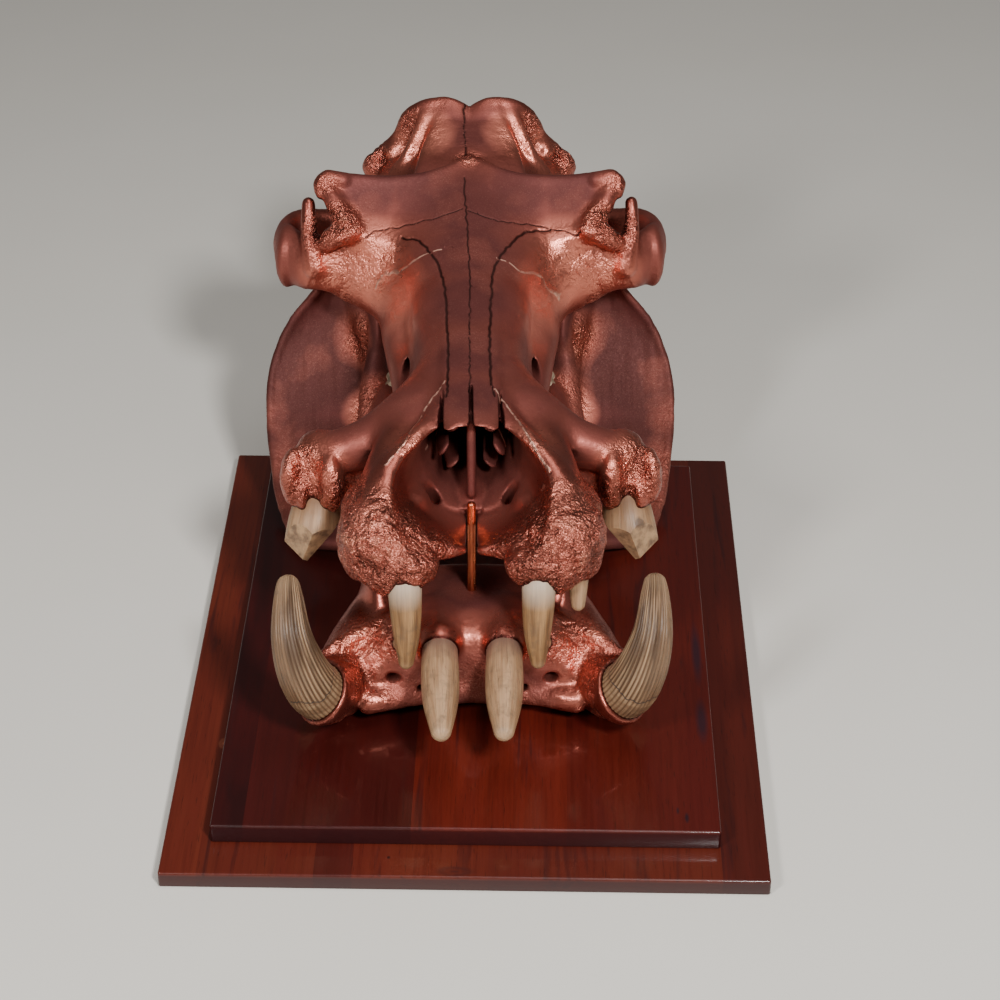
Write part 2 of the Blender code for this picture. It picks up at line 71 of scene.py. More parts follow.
def curve_through(rows, count):
    """Points on a smooth curve through the given rows, which may carry more than a place."""
    rows = np.asarray(rows, float)
    if len(rows) == 2:
        share = np.linspace(0, 1, count)[:, None]
        return rows[0] * (1 - share) + rows[1] * share
    ends = np.vstack([2 * rows[0] - rows[1], rows, 2 * rows[-1] - rows[-2]])
    steps = np.linspace(0, len(rows) - 1, count)
    first = np.clip(steps.astype(int), 0, len(rows) - 2)
    t = (steps - first)[:, None]
    a, b, c, d = ends[first], ends[first + 1], ends[first + 2], ends[first + 3]
    return 0.5 * (2 * b + (c - a) * t + (2 * a - 5 * b + 4 * c - d) * t**2 + (3 * b - a - 3 * c + d) * t**3)


def turned(degrees):
    """Rotation matrix for angles about X, Y and Z."""
    x, y, z = np.radians(degrees)
    about_x = np.array([[1, 0, 0], [0, math.cos(x), -math.sin(x)], [0, math.sin(x), math.cos(x)]])
    about_y = np.array([[math.cos(y), 0, math.sin(y)], [0, 1, 0], [-math.sin(y), 0, math.cos(y)]])
    about_z = np.array([[math.cos(z), -math.sin(z), 0], [math.sin(z), math.cos(z), 0], [0, 0, 1]])
    return about_z @ about_y @ about_x


def on_plinth(points):
    """Places in the skull's frame, in millimetres, as places in the world, in metres."""
    points = np.asarray(points, float)
    c, s = math.cos(SKULL_TURN), math.sin(SKULL_TURN)
    x, y = points[..., 0], points[..., 1] - SKULL_PIVOT_Y
    across = SKULL_SHIFT + c * x - s * y
    back = SKULL_PIVOT_Y - PLINTH_HALF_DEPTH + s * x + c * y
    return np.stack([across, back, points[..., 2]], -1) * MM


class Bone:
    """Distance to a bone's surface on a grid over its left half. The right half is its mirror image."""

    def __init__(self, low, high):
        self.axes = [np.arange(a, b + CELL, CELL, dtype=np.float32) for a, b in zip(low, high)]
        self.value = np.full([len(a) for a in self.axes], 60, np.float32)

    def window(self, low, high):
        """The part of the grid between two corners, and its coordinates."""
        part = []
        for axis, a, b in zip(self.axes, low, high):
            start = max(int(np.searchsorted(axis, a)) - 1, 0)
            part.append(slice(start, max(int(np.searchsorted(axis, b)) + 1, start)))
        x = self.axes[0][part[0]][:, None, None]
        y = self.axes[1][part[1]][None, :, None]
        z = self.axes[2][part[2]][None, None, :]
        return tuple(part), x, y, z

    def put(self, part, new, blend, carve):
        """Melt a form into the bone, or carve it out, with a soft edge as wide as blend."""
        old = self.value[part]
        if old.size == 0:
            return
        if carve:
            new = -new
        soft = max(blend, 0.01)
        h = np.maximum(soft - np.abs(old - new), 0) ** 2 / (4 * soft)
        self.value[part] = np.maximum(old, new) + h if carve else np.minimum(old, new) - h

    def ball(self, centre, radii, angles=(0, 0, 0), blend=8.0, carve=False):
        """An ellipsoid."""
        centre, radii = np.array(centre, float), np.array(radii, float)
        reach = radii.max() + blend + 3 * CELL
        part, x, y, z = self.window(centre - reach, centre + reach)
        spin = turned(angles)
        x, y, z = x - centre[0], y - centre[1], z - centre[2]
        near, far = 0, 0
        for k in range(3):
            along = spin[0, k] * x + spin[1, k] * y + spin[2, k] * z
            near = near + (along / radii[k]) ** 2
            far = far + (along / radii[k] ** 2) ** 2
        near = np.sqrt(near)
        self.put(part, near * (near - 1) / np.maximum(np.sqrt(far), 1e-6), blend, carve)

    def segments(self, rows, low, high, near, part):
        """Distance to a chain of rounded segments: rows hold place, radius, flatness and the thin way."""
        for a, b in zip(rows[:-1], rows[1:]):
            reach = max(a[3], b[3]) + low + high
            sub, x, y, z = self.window(np.minimum(a[:3], b[:3]) - reach, np.maximum(a[:3], b[:3]) + reach)
            inner = tuple(slice(s.start - p.start, s.stop - p.start) for s, p in zip(sub, part))
            way = b[:3] - a[:3]
            x, y, z = x - a[0], y - a[1], z - a[2]
            t = np.clip((x * way[0] + y * way[1] + z * way[2]) / max(way @ way, 1e-9), 0, 1)
            x, y, z = x - t * way[0], y - t * way[1], z - t * way[2]
            radius = a[3] + t * (b[3] - a[3])
            length = np.sqrt(x * x + y * y + z * z)
            flat = (a[4] + b[4]) / 2
            if flat < 0.99:
                thin = a[5:8] + b[5:8]
                thin = thin / np.linalg.norm(thin)
                across = x * thin[0] + y * thin[1] + z * thin[2]
                stretched = np.sqrt(length**2 + (1 / flat**2 - 1) * across**2)
                distance = (stretched - radius) * (length + 0.5) / (stretched + 0.5)
            else:
                distance = length - radius
            near[inner] = np.minimum(near[inner], distance)

    def limb(self, points, radii, flat=1.0, normal=(1, 0, 0), blend=8.0, carve=False):
        """A rounded tube along a smooth path. flat thins it along normal."""
        count = len(points)
        rows = np.column_stack([
            np.asarray(points, float),
            np.broadcast_to(np.asarray(radii, float), (count,)),
            np.broadcast_to(np.asarray(flat, float), (count,)),
            np.broadcast_to(np.asarray(normal, float), (count, 3))])
        rows = curve_through(rows, 1 + 5 * (count - 1))
        reach = rows[:, 3].max() + blend + 3 * CELL
        part, x, y, z = self.window(rows[:, :3].min(0) - reach, rows[:, :3].max(0) + reach)
        near = np.full(np.broadcast(x, y, z).shape, 99, np.float32)
        self.segments(rows, blend, 3 * CELL, near, part)
        self.put(part, near, blend, carve)

    def sheet(self, inner, outer, thickness, bow=(0, 0, 0), blend=8.0):
        """A plate ruled between two smooth edges, bowed out in its middle."""
        inner_line, outer_line = curve_through(inner, 200), curve_through(outer, 200)
        longest = max(
            np.linalg.norm(np.diff(line, axis=0), axis=1).sum() for line in (inner_line, outer_line))
        thick = np.broadcast_to(np.asarray(thickness, float), (2,)) / 2
        strips = int(longest / (min(thick) * 0.75)) + 2
        shares = np.linspace(0, 1, 5)[:, None]
        bow = np.sin(math.pi * shares) * np.asarray(bow, float)
        radii = thick[0] + (thick[1] - thick[0]) * shares
        reach = thick.max() + blend + 3 * CELL
        both = np.vstack([inner_line, outer_line, inner_line + bow[2], outer_line + bow[2]])
        part, x, y, z = self.window(both.min(0) - reach, both.max(0) + reach)
        near = np.full(np.broadcast(x, y, z).shape, 99, np.float32)
        round_bar = np.tile([1.0, 1.0, 0.0, 0.0], (5, 1))
        for a, b in zip(curve_through(inner, strips), curve_through(outer, strips)):
            rows = np.column_stack([a + (b - a) * shares + bow, radii, round_bar])
            self.segments(rows, blend, 3 * CELL, near, part)
        self.put(part, near, blend, False)

    def loft(self, sections, power=2.4, blend=8.0, end=9.0, carve=False):
        """Superellipse sections along Y: y, half width, middle z, height above and depth below it."""
        rows = curve_through(sections, 8 * len(sections))
        reach = blend + 3 * CELL
        low = (-reach, rows[0, 0] - reach, (rows[:, 2] - rows[:, 4]).min() - reach)
        high = (rows[:, 1].max() + reach, rows[-1, 0] + reach, (rows[:, 2] + rows[:, 3]).max() + reach)
        part, x, y, z = self.window(low, high)
        width, middle, above, below = (np.interp(y, rows[:, 0], rows[:, k]) for k in range(1, 5))
        z = z - middle
        height = np.where(z > 0, above, below)
        u, v = x / width, np.abs(z) / height
        ring = (u**power + v**power) ** (1 / power)
        slope = np.sqrt((u / width) ** 2 + (v / height) ** 2) / np.maximum(np.sqrt(u**2 + v**2), 1e-6)
        side = (ring - 1) / np.maximum(slope, 0.5 / np.maximum(width, height)) + end
        cap = np.maximum(rows[0, 0] - y, y - rows[-1, 0]) + end
        rounded = np.sqrt(np.maximum(side, 0) ** 2 + np.maximum(cap, 0) ** 2)
        self.put(part, np.minimum(np.maximum(side, cap), 0) + rounded - end, blend, carve)

    def trim(self, spot, facing, reach, blend=4.0):
        """Cut off what lies beyond a plane, as far as reach round its spot."""
        spot, facing = np.array(spot, float), np.array(facing, float)
        facing = facing / np.linalg.norm(facing)
        part, x, y, z = self.window(spot - reach - blend, spot + reach + blend)
        x, y, z = x - spot[0], y - spot[1], z - spot[2]
        beyond = facing[0] * x + facing[1] * y + facing[2] * z
        self.put(part, np.maximum(-beyond, np.sqrt(x * x + y * y + z * z) - reach), blend, True)

    def distance(self, points):
        """Distance to the surface at the given places, below zero inside."""
        index = np.column_stack([np.abs(points[:, 0]), points[:, 1:]]) - [axis[0] for axis in self.axes]
        index = np.clip(index / CELL, 0, np.array(self.value.shape) - 1.001)
        base = index.astype(int)
        part = index - base
        total = np.zeros(len(points))
        for corner in range(8):
            step = np.array([corner & 1, corner >> 1 & 1, corner >> 2 & 1])
            total += np.prod(np.where(step, part, 1 - part), 1) * self.value[tuple((base + step).T)]
        return total

    def outward(self, points):
        """The way out of the bone at the given places."""
        slope = [self.distance(points + 0.8 * CELL * way) - self.distance(points - 0.8 * CELL * way)
                 for way in np.eye(3)]
        slope = np.column_stack(slope)
        return slope / np.maximum(np.linalg.norm(slope, axis=1, keepdims=True), 1e-6)

    def skin(self):
        """Points and four-sided faces of the bone's surface, both halves."""
        value = np.concatenate([self.value[:0:-1], self.value])
        low = np.array([-self.axes[0][-1], self.axes[1][0], self.axes[2][0]], float)
        return surface(value, low)


def surface(value, low):
    """Surface nets: one point in each cell that the surface passes, and one face across each edge of the
    grid that it cuts."""
    solid = value < 0
    shape = np.array(value.shape) - 1
    corners = [(i, j, k) for i in (0, 1) for j in (0, 1) for k in (0, 1)]
    count = np.zeros(shape, np.int8)
    for i, j, k in corners:
        count += solid[i:i + shape[0], j:j + shape[1], k:k + shape[2]]
    cells = np.argwhere((count > 0) & (count < 8))
    number = np.full(shape, -1, np.int32)
    number[tuple(cells.T)] = np.arange(len(cells))
    at_corner = {c: value[tuple((cells + c).T)] for c in corners}
    total = np.zeros((len(cells), 3))
    hits = np.zeros(len(cells))
    for c in corners:
        for axis in range(3):
            if c[axis]:
                continue
            other = tuple(v + (k == axis) for k, v in enumerate(c))
            a, b = at_corner[c], at_corner[other]
            cut = (a < 0) != (b < 0)
            share = np.where(cut, a / np.where(a == b, 1, a - b), 0)
            spot = np.tile(np.array(c, float), (len(cells), 1))
            spot[:, axis] += share
            total += spot * cut[:, None]
            hits += cut
    points = low + (cells + total / hits[:, None]) * CELL
    faces = []
    for axis in range(3):
        u, v = [k for k in range(3) if k != axis]
        first = [slice(None)] * 3
        second = [slice(None)] * 3
        first[axis], second[axis] = slice(None, -1), slice(1, None)
        change = solid[tuple(first)] != solid[tuple(second)]
        edges = np.argwhere(change)
        at_u, at_v = edges[:, u], edges[:, v]
        edges = edges[(at_u > 0) & (at_v > 0) & (at_u < shape[u]) & (at_v < shape[v])]
        inside_first = solid[tuple(edges.T)]
        quad = []
        for du, dv in ((-1, -1), (0, -1), (0, 0), (-1, 0)):
            step = np.zeros(3, int)
            step[u], step[v] = du, dv
            quad.append(number[tuple((edges + step).T)])
        quad = np.stack(quad, 1)
        flip = inside_first if axis != 1 else ~inside_first
        quad[~flip] = quad[~flip][:, ::-1]
        faces.append(quad)
    return points, np.vstack(faces)


# The cranium

# Middle line of the jaw joint, the radius of the lower jaw's roll in it, and of the room for it above
JOINT = [(112, 738, 252), (158, 732, 254)]
JOINT_ROLL, JOINT_ROOM = 12.6, 13.4
# Lines along the bone that more than one form follows, on the animal's left
FRONTAL_REAR = [
    (0, 732, 384), (26, 712, 380), (56, 699, 378), (92, 693, 378), (124, 690, 382), (148, 687, 386)]
SHOULDER = [
    (0, 520, 318), (34, 585, 327), (56, 622, 330), (78, 642, 331), (106, 648, 335), (130, 656, 347),
    (144, 668, 362)]
CHEEK_EDGE = [
    (60, 584, 246), (76, 614, 250), (96, 642, 254), (114, 653, 257), (134, 665, 261), (152, 676, 266),
    (170, 684, 272)]
CREST = [(0, 812, 402), (12, 814, 409), (27, 816, 412), (48, 820, 406), (64, 824, 392), (77, 829, 366),
         (97, 833, 342), (105, 832, 322), (100, 828, 292)]


def cranium_back(bone):
    """Braincase, crest, joints for the neck and the underside behind the palate."""
    bone.loft([
        (670, 56, 298, 60, 68),
        (710, 48, 300, 62, 60),
        (745, 52, 302, 60, 54),
        (785, 68, 304, 62, 52),
        (818, 60, 300, 70, 48),
    ])
    # Side walls that rise to the crest, parted by a shallow valley on the midline
    bone.sheet(
        [(0, 722, 373), (0, 765, 385), (0, 808, 397)],
        [(54, 724, 362), (44, 768, 380), (28, 814, 402)],
        [16, 16], (0, 0, 1), blend=6)
    bone.sheet(
        [(54, 722, 358), (44, 768, 376), (30, 814, 400)],
        [(60, 726, 322), (82, 776, 322), (98, 828, 322)],
        [16, 18], (-4, -2, -3), blend=6)
    bone.limb([(46, 812, 400), (62, 792, 372), (86, 784, 330)], [9, 8, 9], blend=7)
    bone.limb([(30, 750, 330), (64, 792, 330), (88, 822, 326)], [34, 28, 18])
    bone.limb(CREST, [7, 8, 9, 10, 11, 10, 11, 12, 11], 0.8, (0, 1, 0), blend=5)
    bone.ball((104, 826, 332), (14, 13, 19), blend=6)
    bone.ball((84, 822, 352), (10, 11, 12), blend=5)
    bone.sheet(
        [(0, 808, 398), (24, 810, 404), (50, 818, 392), (74, 824, 358), (94, 826, 326), (94, 822, 292)],
        [(0, 820, 306), (14, 820, 304), (24, 820, 300), (32, 820, 292), (40, 820, 284), (40, 820, 270)],
        18, blend=6)
    # Hollows for the neck muscles on the rear face, with a ridge between them
    for spot, size in (((40, 842, 352), (24, 14, 26)), ((76, 844, 312), (16, 12, 20))):
        bone.ball(spot, size, blend=8, carve=True)
    bone.limb([(0, 826, 392), (0, 830, 340), (0, 832, 300)], [6, 6, 7], blend=6)
    # Joints for the neck and the opening between them
    bone.ball((30, 838, 262), (20, 17, 22), (0, 0, -25), blend=6)
    bone.ball((14, 828, 242), (14, 18, 12), blend=8)
    bone.limb([(0, 790, 268), (0, 830, 264), (0, 880, 256)], [13, 16, 19], blend=4, carve=True)
    bone.limb([(78, 806, 288), (84, 808, 254), (85, 805, 226)], [20, 13, 6], blend=8)
    bone.limb([(96, 800, 300), (108, 806, 282)], [14, 9], blend=8)
    # Underside: base of the braincase, ear capsules, wings behind the palate
    bone.ball((0, 770, 258), (36, 76, 20), blend=12)
    bone.limb([(0, 700, 262), (0, 760, 248), (0, 812, 246)], [16, 14, 13], blend=10)
    bone.ball((60, 772, 242), (14, 22, 15), (0, 0, 20), blend=6)
    bone.ball((66, 752, 250), (11, 9, 11), blend=5)
    bone.sheet(
        [(34, 690, 252), (33, 720, 256), (40, 748, 258)],
        [(36, 684, 212), (34, 706, 212), (36, 736, 232)],
        [9, 6], blend=6)
    bone.limb([(35, 694, 214), (36, 704, 205)], [6, 4], blend=5)


def cranium_arches(bone):
    """Frontal plate, eye sockets, cheeks and the arches beside the braincase."""
    bone.loft([
        (520, 56, 296, 26, 34),
        (596, 64, 306, 24, 40),
        (640, 100, 316, 16, 40),
        (682, 110, 344, 10, 18),
        (704, 90, 356, 6, 8),
    ], power=2.6, blend=10)
    bone.sheet(SHOULDER, FRONTAL_REAR, [18, 13], (0, 0, -4), blend=8)
    bone.limb(FRONTAL_REAR, [7, 6, 6, 6, 6, 6], blend=4)
    # Hooked end behind the eye socket
    bone.limb([(134, 685, 384), (150, 685, 387), (159, 681, 382), (158, 676, 372)], [8, 8, 6, 5], blend=4)
    # Face between the rostrum and the eye socket
    bone.ball((104, 656, 300), (32, 20, 42), (0, 0, 25), blend=10)
    bone.ball((56, 590, 262), (30, 40, 34), (0, 0, 0), blend=14)
    bone.sheet(
        [(40, 590, 318), (64, 628, 320), (92, 648, 322), (122, 657, 326), (150, 662, 322)],
        CHEEK_EDGE[:6],
        [20, 13], (4, -7, 2), blend=14)
    bone.limb([(62, 600, 272), (104, 646, 280), (150, 668, 294)], [30, 30, 26], 0.5, (0.7, -0.7, 0), blend=14)
    # Lower rim of the cheek, a rough ridge for the chewing muscle
    bone.limb(CHEEK_EDGE, [6, 7, 7, 7, 7, 8, 9], blend=5)
    # Upper and front rims of the eye socket
    bone.limb([(154, 682, 380), (145, 670, 370), (135, 658, 356), (126, 648, 344)], [7, 9, 11, 12], blend=8)
    for knob, size in (
            ((138, 646, 340), 12), ((149, 648, 332), 11), ((157, 652, 326), 8), ((128, 650, 354), 5)):
        bone.ball(knob, (size, size, size), blend=8)
    # Cheek arch with the lobe at its outermost point
    bone.limb(
        [(156, 664, 294), (186, 678, 296), (200, 704, 298), (187, 738, 298), (146, 758, 292), (84, 762, 286)],
        [29, 32, 27, 24, 21, 28], [0.48, 0.42, 0.45, 0.55, 0.8, 0.9],
        [(0.6, -0.8, 0), (0.9, -0.4, 0), (1, 0, 0), (0.8, 0.6, 0), (0.2, 1, 0), (0, 1, 0)])
    bone.ball((196, 684, 294), (12, 26, 34), (0, 0, 12), blend=8)
    bone.ball((120, 754, 266), (20, 9, 13), blend=6)
    # Eye socket and the finger of cheek bone that rises behind it
    bone.ball((150, 678, 345), (15, 20, 24), (0, 0, -20), blend=5, carve=True)
    bone.ball((150, 696, 322), (26, 22, 36), blend=6, carve=True)
    bone.limb([(165, 650, 300), (170, 658, 328), (171, 667, 350), (171, 675, 362)], [13, 10, 8, 7], blend=4)
    # Hole for the nerve of the snout
    bone.limb([(72, 470, 258), (60, 520, 262)], [5, 5], 0.7, (0, 0.2, 1), blend=4, carve=True)


def cranium_front(bone):
    """Rostrum, palate and the muzzle with the canine pillars and the incisor bulbs."""
    bone.loft([
        (306, 38, 262, 42, 50),
        (350, 52, 262, 48, 56),
        (420, 55, 264, 51, 62),
        (480, 57, 268, 56, 64),
        (540, 62, 272, 61, 68),
        (600, 66, 278, 57, 74),
        (650, 70, 286, 52, 80),
        (690, 58, 294, 54, 70),
    ], power=2.6, blend=12)
    # Nasal bones: a flat roof over the rostrum that widens backwards
    bone.loft([
        (305, 26, 300, 5, 5),
        (340, 27, 304, 6, 7),
        (400, 27, 307, 9, 14),
        (480, 29, 314, 11, 20),
        (560, 34, 322, 12, 20),
        (600, 38, 327, 12, 20),
    ], power=4, blend=5, end=3)
    # Tooth-bearing ridges of the palate
    bone.limb([(56, 420, 216), (58, 520, 218), (64, 600, 218), (66, 655, 222)], [14, 16, 19, 18], blend=10)
    bone.limb([(56, 480, 240), (64, 560, 244), (70, 620, 250), (70, 670, 256)], [22, 25, 26, 22], blend=14)
    # Muzzle: the flare to the canine, the canine's pillar and the flanks of its groove
    bone.limb([(36, 420, 268), (66, 382, 266), (104, 366, 254), (146, 366, 240)], [36, 31, 24, 22], blend=16)
    bone.limb([(150, 374, 240), (158, 366, 222), (157, 352, 206)], [22, 23, 22], blend=8)
    bone.ball((174, 358, 222), (13, 22, 31), (0, 0, 15), blend=6)
    bone.ball((138, 343, 224), (13, 19, 32), (0, 0, -15), blend=6)
    bone.limb([(155, 338, 252), (155, 331, 230), (154, 326, 190)], [6, 11, 13], 0.72, blend=4, carve=True)
    bone.limb([(60, 380, 222), (100, 374, 214), (140, 370, 210)], [21, 20, 20], blend=10)
    # Front of the muzzle: from the flank of the rostrum down to the swollen ends that carry the incisors
    bone.limb([(54, 384, 272), (70, 330, 262), (82, 276, 244)], [26, 27, 30], blend=12)
    bone.limb([(32, 350, 294), (54, 316, 288), (80, 284, 268), (86, 252, 244)], [9, 10, 13, 18], blend=10)
    bone.ball((86, 248, 226), (42, 44, 38), blend=10)
    bone.ball((100, 286, 226), (26, 32, 30), blend=10)
    bone.ball((60, 218, 212), (30, 24, 24), blend=10)
    bone.ball((76, 218, 202), (26, 22, 22), blend=10)
    bone.ball((100, 236, 205), (22, 22, 20), blend=10)
    # Gap between the front bone and the canine's pillar
    bone.limb([(128, 322, 204), (114, 330, 232), (98, 340, 258)], [8, 5, 3], blend=3, carve=True)
    # Nostril, open to the front, and the gap between the incisor bulbs
    bone.loft([
        (180, 76, 268, 60, 54),
        (250, 73, 268, 48, 55),
        (288, 69, 266, 42, 55),
        (336, 50, 264, 39, 50),
        (400, 36, 264, 34, 40),
        (450, 18, 268, 18, 22),
    ], power=2, blend=4, end=2, carve=True)
    bone.limb([(0, 170, 196), (0, 205, 200), (0, 240, 204)], [38, 32, 18], blend=5, carve=True)
    # Floor of the nostril: a plate from each bulb that ends in a point beside the midline
    bone.sheet(
        [(66, 246, 226), (63, 272, 222), (56, 300, 214), (48, 345, 210)],
        [(10, 253, 204), (8, 275, 203), (8, 305, 204), (6, 345, 206)],
        [34, 6], (0, 0, -3), blend=6)
    bone.limb([(44, 240, 214), (24, 248, 207), (9, 254, 204)], [13, 7, 3], blend=6)
    bone.limb([(54, 300, 226), (50, 350, 226), (46, 420, 230)], [13, 13, 12], blend=8)
    # Long holes in the floor of the palate behind the incisors
    bone.limb([(39, 318, 232), (38, 326, 190)], [9, 8], 0.8, (1, 0, 0), blend=4, carve=True)
    # Free tips of the nasal bones, parted by slits
    for x, widest in ((0, 0.17), (30, 0.22)):
        bone.limb(
            [(x, 292, 304), (x * 0.97, 330, 306), (x * 0.92, 372, 312)],
            [15, 13, 8], [widest, widest * 0.7, 0.06], blend=0.5, carve=True)
    # Septum, vomer and scroll bones
    bone.sheet(
        [(0, 338, 296), (0, 370, 300), (0, 450, 302)],
        [(0, 322, 224), (0, 350, 222), (0, 450, 224)], 8, blend=3)
    for x, z, lean, front in ((16, 284, 0.4, 352), (27, 262, 0.8, 346), (18, 240, 0.5, 356)):
        bone.limb(
            [(x, front, z), (x + 2, 386, z + 2), (x, 440, z + 4)], [9, 11, 12], 0.3, (lean, 0, 0.6), blend=2)
    bone.limb([(0, 322, 210), (0, 345, 214), (0, 430, 216)], [7, 12, 14], blend=6)


def cranium_bone():
    """The whole cranium with the room for the jaw joint."""
    bone = Bone(CRANIUM_LOW, CRANIUM_HIGH)
    cranium_front(bone)
    cranium_arches(bone)
    cranium_back(bone)
    bone.limb(JOINT, JOINT_ROOM, blend=2, carve=True)
    return bone


# The mandible

# Lower edge of the flared angle, and the line where the flare leaves the branch
JAW_EDGE = [
    (168, 712, 238), (200, 706, 196), (219, 682, 152), (221, 646, 112), (214, 600, 78), (204, 560, 56),
    (182, 510, 47), (140, 486, 55)]
JAW_ROOT = [
    (122, 724, 226), (112, 706, 190), (104, 676, 150), (98, 640, 116), (94, 600, 96), (90, 560, 84),
    (88, 520, 80), (88, 490, 84)]
# Mouth of the lower canine's socket: its middle and the way that it faces
SOCKET_MOUTH, SOCKET_FACING = (141, 178, 95), (0.66, -0.37, 0.65)


def mandible_bone():
    """The lower jaw."""
    bone = Bone(MANDIBLE_LOW, MANDIBLE_HIGH)
    # Front block where the halves are grown together, hollow in front and dished behind the teeth
    bone.loft([
        (212, 78, 90, 30, 40),
        (226, 100, 91, 40, 48),
        (258, 102, 94, 42, 54),
        (300, 88, 98, 36, 54),
        (350, 80, 102, 26, 44),
    ], blend=14, end=14)
    bone.limb([(0, 214, 64), (52, 213, 62), (100, 204, 62)], [10, 10, 13], blend=12)
    bone.limb(
        [(0, 190, 92), (44, 190, 90), (86, 184, 86)], [16, 14, 10], 0.8, (0, 1, 0), blend=12, carve=True)
    # Collars of the incisors and the rough edge that joins them to the canines' sockets
    bone.limb([(31, 266, 112), (31, 222, 118)], [26, 22.5], blend=7)
    bone.limb([(70, 256, 110), (70, 230, 114)], [18, 13], blend=8)
    # Sockets of the canines
    bone.limb([(78, 330, 97), (92, 286, 88), (108, 254, 80)], [28, 27, 28], blend=10)
    bone.limb([(40, 244, 90), (90, 236, 82)], [32, 25], blend=12)
    # Wall of the socket along the tooth, ended by a slanting mouth
    bone.limb(
        [(98, 300, 88), (116, 262, 82), (131, 212, 79), (145, 179, 92), (150, 172, 104)],
        [28, 27, 28, 32, 31], blend=7)
    bone.trim(SOCKET_MOUTH, SOCKET_FACING, 74, 3)
    # Lower lip of the socket under the tooth and the ridge behind it
    bone.limb([(100, 262, 62), (122, 222, 56), (138, 198, 54), (152, 184, 56)], [24, 19, 12, 6], blend=7)
    bone.limb(
        [(74, 262, 108), (93, 254, 110), (113, 242, 110), (132, 228, 108), (148, 214, 104)],
        [12, 10, 9, 8, 5], blend=6)
    # Body with the tooth row
    bone.limb(
        [(88, 320, 104), (84, 380, 107), (80, 460, 110), (80, 540, 112), (86, 610, 116)],
        [49, 52, 55, 56, 59], [0.46, 0.46, 0.44, 0.44, 0.42], blend=12)
    # Upright part with its front spur and the joint
    bone.sheet(
        [(92, 612, 146), (98, 652, 172), (100, 676, 214), (104, 686, 256)],
        [(96, 640, 90), (104, 690, 130), (116, 722, 190), (124, 734, 236)],
        18, blend=8)
    bone.limb([(110, 612, 128), (106, 640, 162), (101, 668, 204)], [14, 13, 9], blend=8)
    bone.limb([(100, 672, 208), (102, 686, 258), (104, 698, 296)], [23, 16, 7], 0.4, blend=8)
    bone.limb([(112, 700, 200), (124, 724, 232), (134, 736, 248)], [22, 17, 12], 0.8, blend=8)
    bone.limb(JOINT, JOINT_ROLL, blend=5)
    # Flared angle of the jaw, a wide thin plate with a rolled edge
    bone.sheet(JAW_ROOT, JAW_EDGE, [15, 6], (6, 8, 0), blend=10)
    bone.limb(JAW_EDGE, [3.2, 3.2, 3.2, 3.2, 4, 6, 8, 8], blend=5)
    bone.limb([(110, 704, 196), (108, 668, 150), (104, 630, 112)], [15, 15, 14], 0.8, blend=8)
    # Nerve holes on the front and the inner side
    for spot, size in (((76, 208, 84), 7), ((50, 206, 74), 3.5)):
        bone.ball(spot, (size, 16, size * 0.75), blend=3, carve=True)
    bone.ball((78, 668, 176), (12, 12, 8), blend=5, carve=True)
    return bone


def rest_flat(bone):
    """Take off what would reach below the board's top."""
    z = bone.axes[2][None, None, :]
    bone.value = np.maximum(bone.value, (BOARD_TOP + FOOT_GAP) - z)


# Relief of the bones

# Rough places: distance from the midline, y, z, reach and how rough
CRANIUM_ROUGH = [
    (88, 232, 228, 70, 1.0), (62, 212, 204, 50, 1.0), (108, 268, 234, 50, 0.85), (58, 300, 288, 24, 0.35),
    (36, 244, 214, 30, 0.8), (160, 356, 226, 56, 0.6), (140, 338, 214, 42, 0.6), (112, 372, 222, 30, 0.3),
    (139, 650, 352, 30, 1.0), (150, 658, 340, 34, 0.9), (128, 642, 352, 24, 0.6), (152, 682, 380, 24, 0.5),
    (100, 832, 338, 32, 0.9), (64, 826, 388, 26, 0.6), (30, 814, 412, 20, 0.3), (0, 732, 384, 22, 0.7),
    (202, 690, 290, 36, 0.4), (40, 846, 340, 52, 0.5), (80, 614, 250, 24, 0.4), (130, 660, 262, 30, 0.5),
    (166, 682, 270, 30, 0.5), (122, 650, 302, 46, 0.32), (94, 628, 318, 36, 0.2), (60, 470, 208, 34, 0.4),
    (62, 570, 208, 34, 0.4), (66, 650, 216, 30, 0.5)]
MANDIBLE_ROUGH = [
    (31, 232, 120, 38, 0.35), (66, 232, 116, 38, 0.45), (100, 238, 112, 42, 0.5), (130, 220, 106, 42, 0.45),
    (140, 190, 62, 48, 0.7), (118, 200, 96, 40, 0.6), (110, 250, 84, 50, 0.4), (0, 214, 84, 44, 0.3),
    (60, 206, 58, 50, 0.35), (216, 650, 112, 30, 0.2), (210, 600, 76, 40, 0.25), (196, 540, 52, 50, 0.35),
    (112, 690, 190, 44, 0.8), (104, 640, 140, 44, 0.6), (80, 470, 160, 30, 0.4), (80, 570, 160, 34, 0.4)]

# Places where the paint is dull and its colour darkened with painted shade, laid out the same way; past 1 the
# painted shade grows darker still
CRANIUM_DULL_AND_SHADE = [
    (0, 360, 312, 60, 1.0), (0, 430, 316, 70, 1.0), (0, 520, 326, 80, 1.0), (0, 600, 345, 80, 1.0),
    (0, 660, 368, 90, 1.0), (50, 684, 374, 70, 1.0), (104, 684, 376, 60, 1.0), (10, 780, 396, 50, 0.9),
    (30, 800, 404, 34, 0.7), (198, 694, 292, 60, 0.9), (60, 380, 290, 50, 0.7), (66, 470, 280, 70, 0.8),
    (70, 560, 280, 60, 0.7), (110, 376, 262, 60, 0.7), (0, 340, 250, 80, 0.9)]
MANDIBLE_DULL_AND_SHADE = [
    (150, 670, 176, 120, 1.35), (190, 670, 160, 120, 1.35), (190, 600, 110, 120, 1.35),
    (0, 290, 132, 80, 1.0), (60, 330, 130, 60, 0.7), (180, 530, 70, 100, 1.35), (0, 208, 78, 44, 1.4),
    (50, 206, 70, 40, 1.0)]
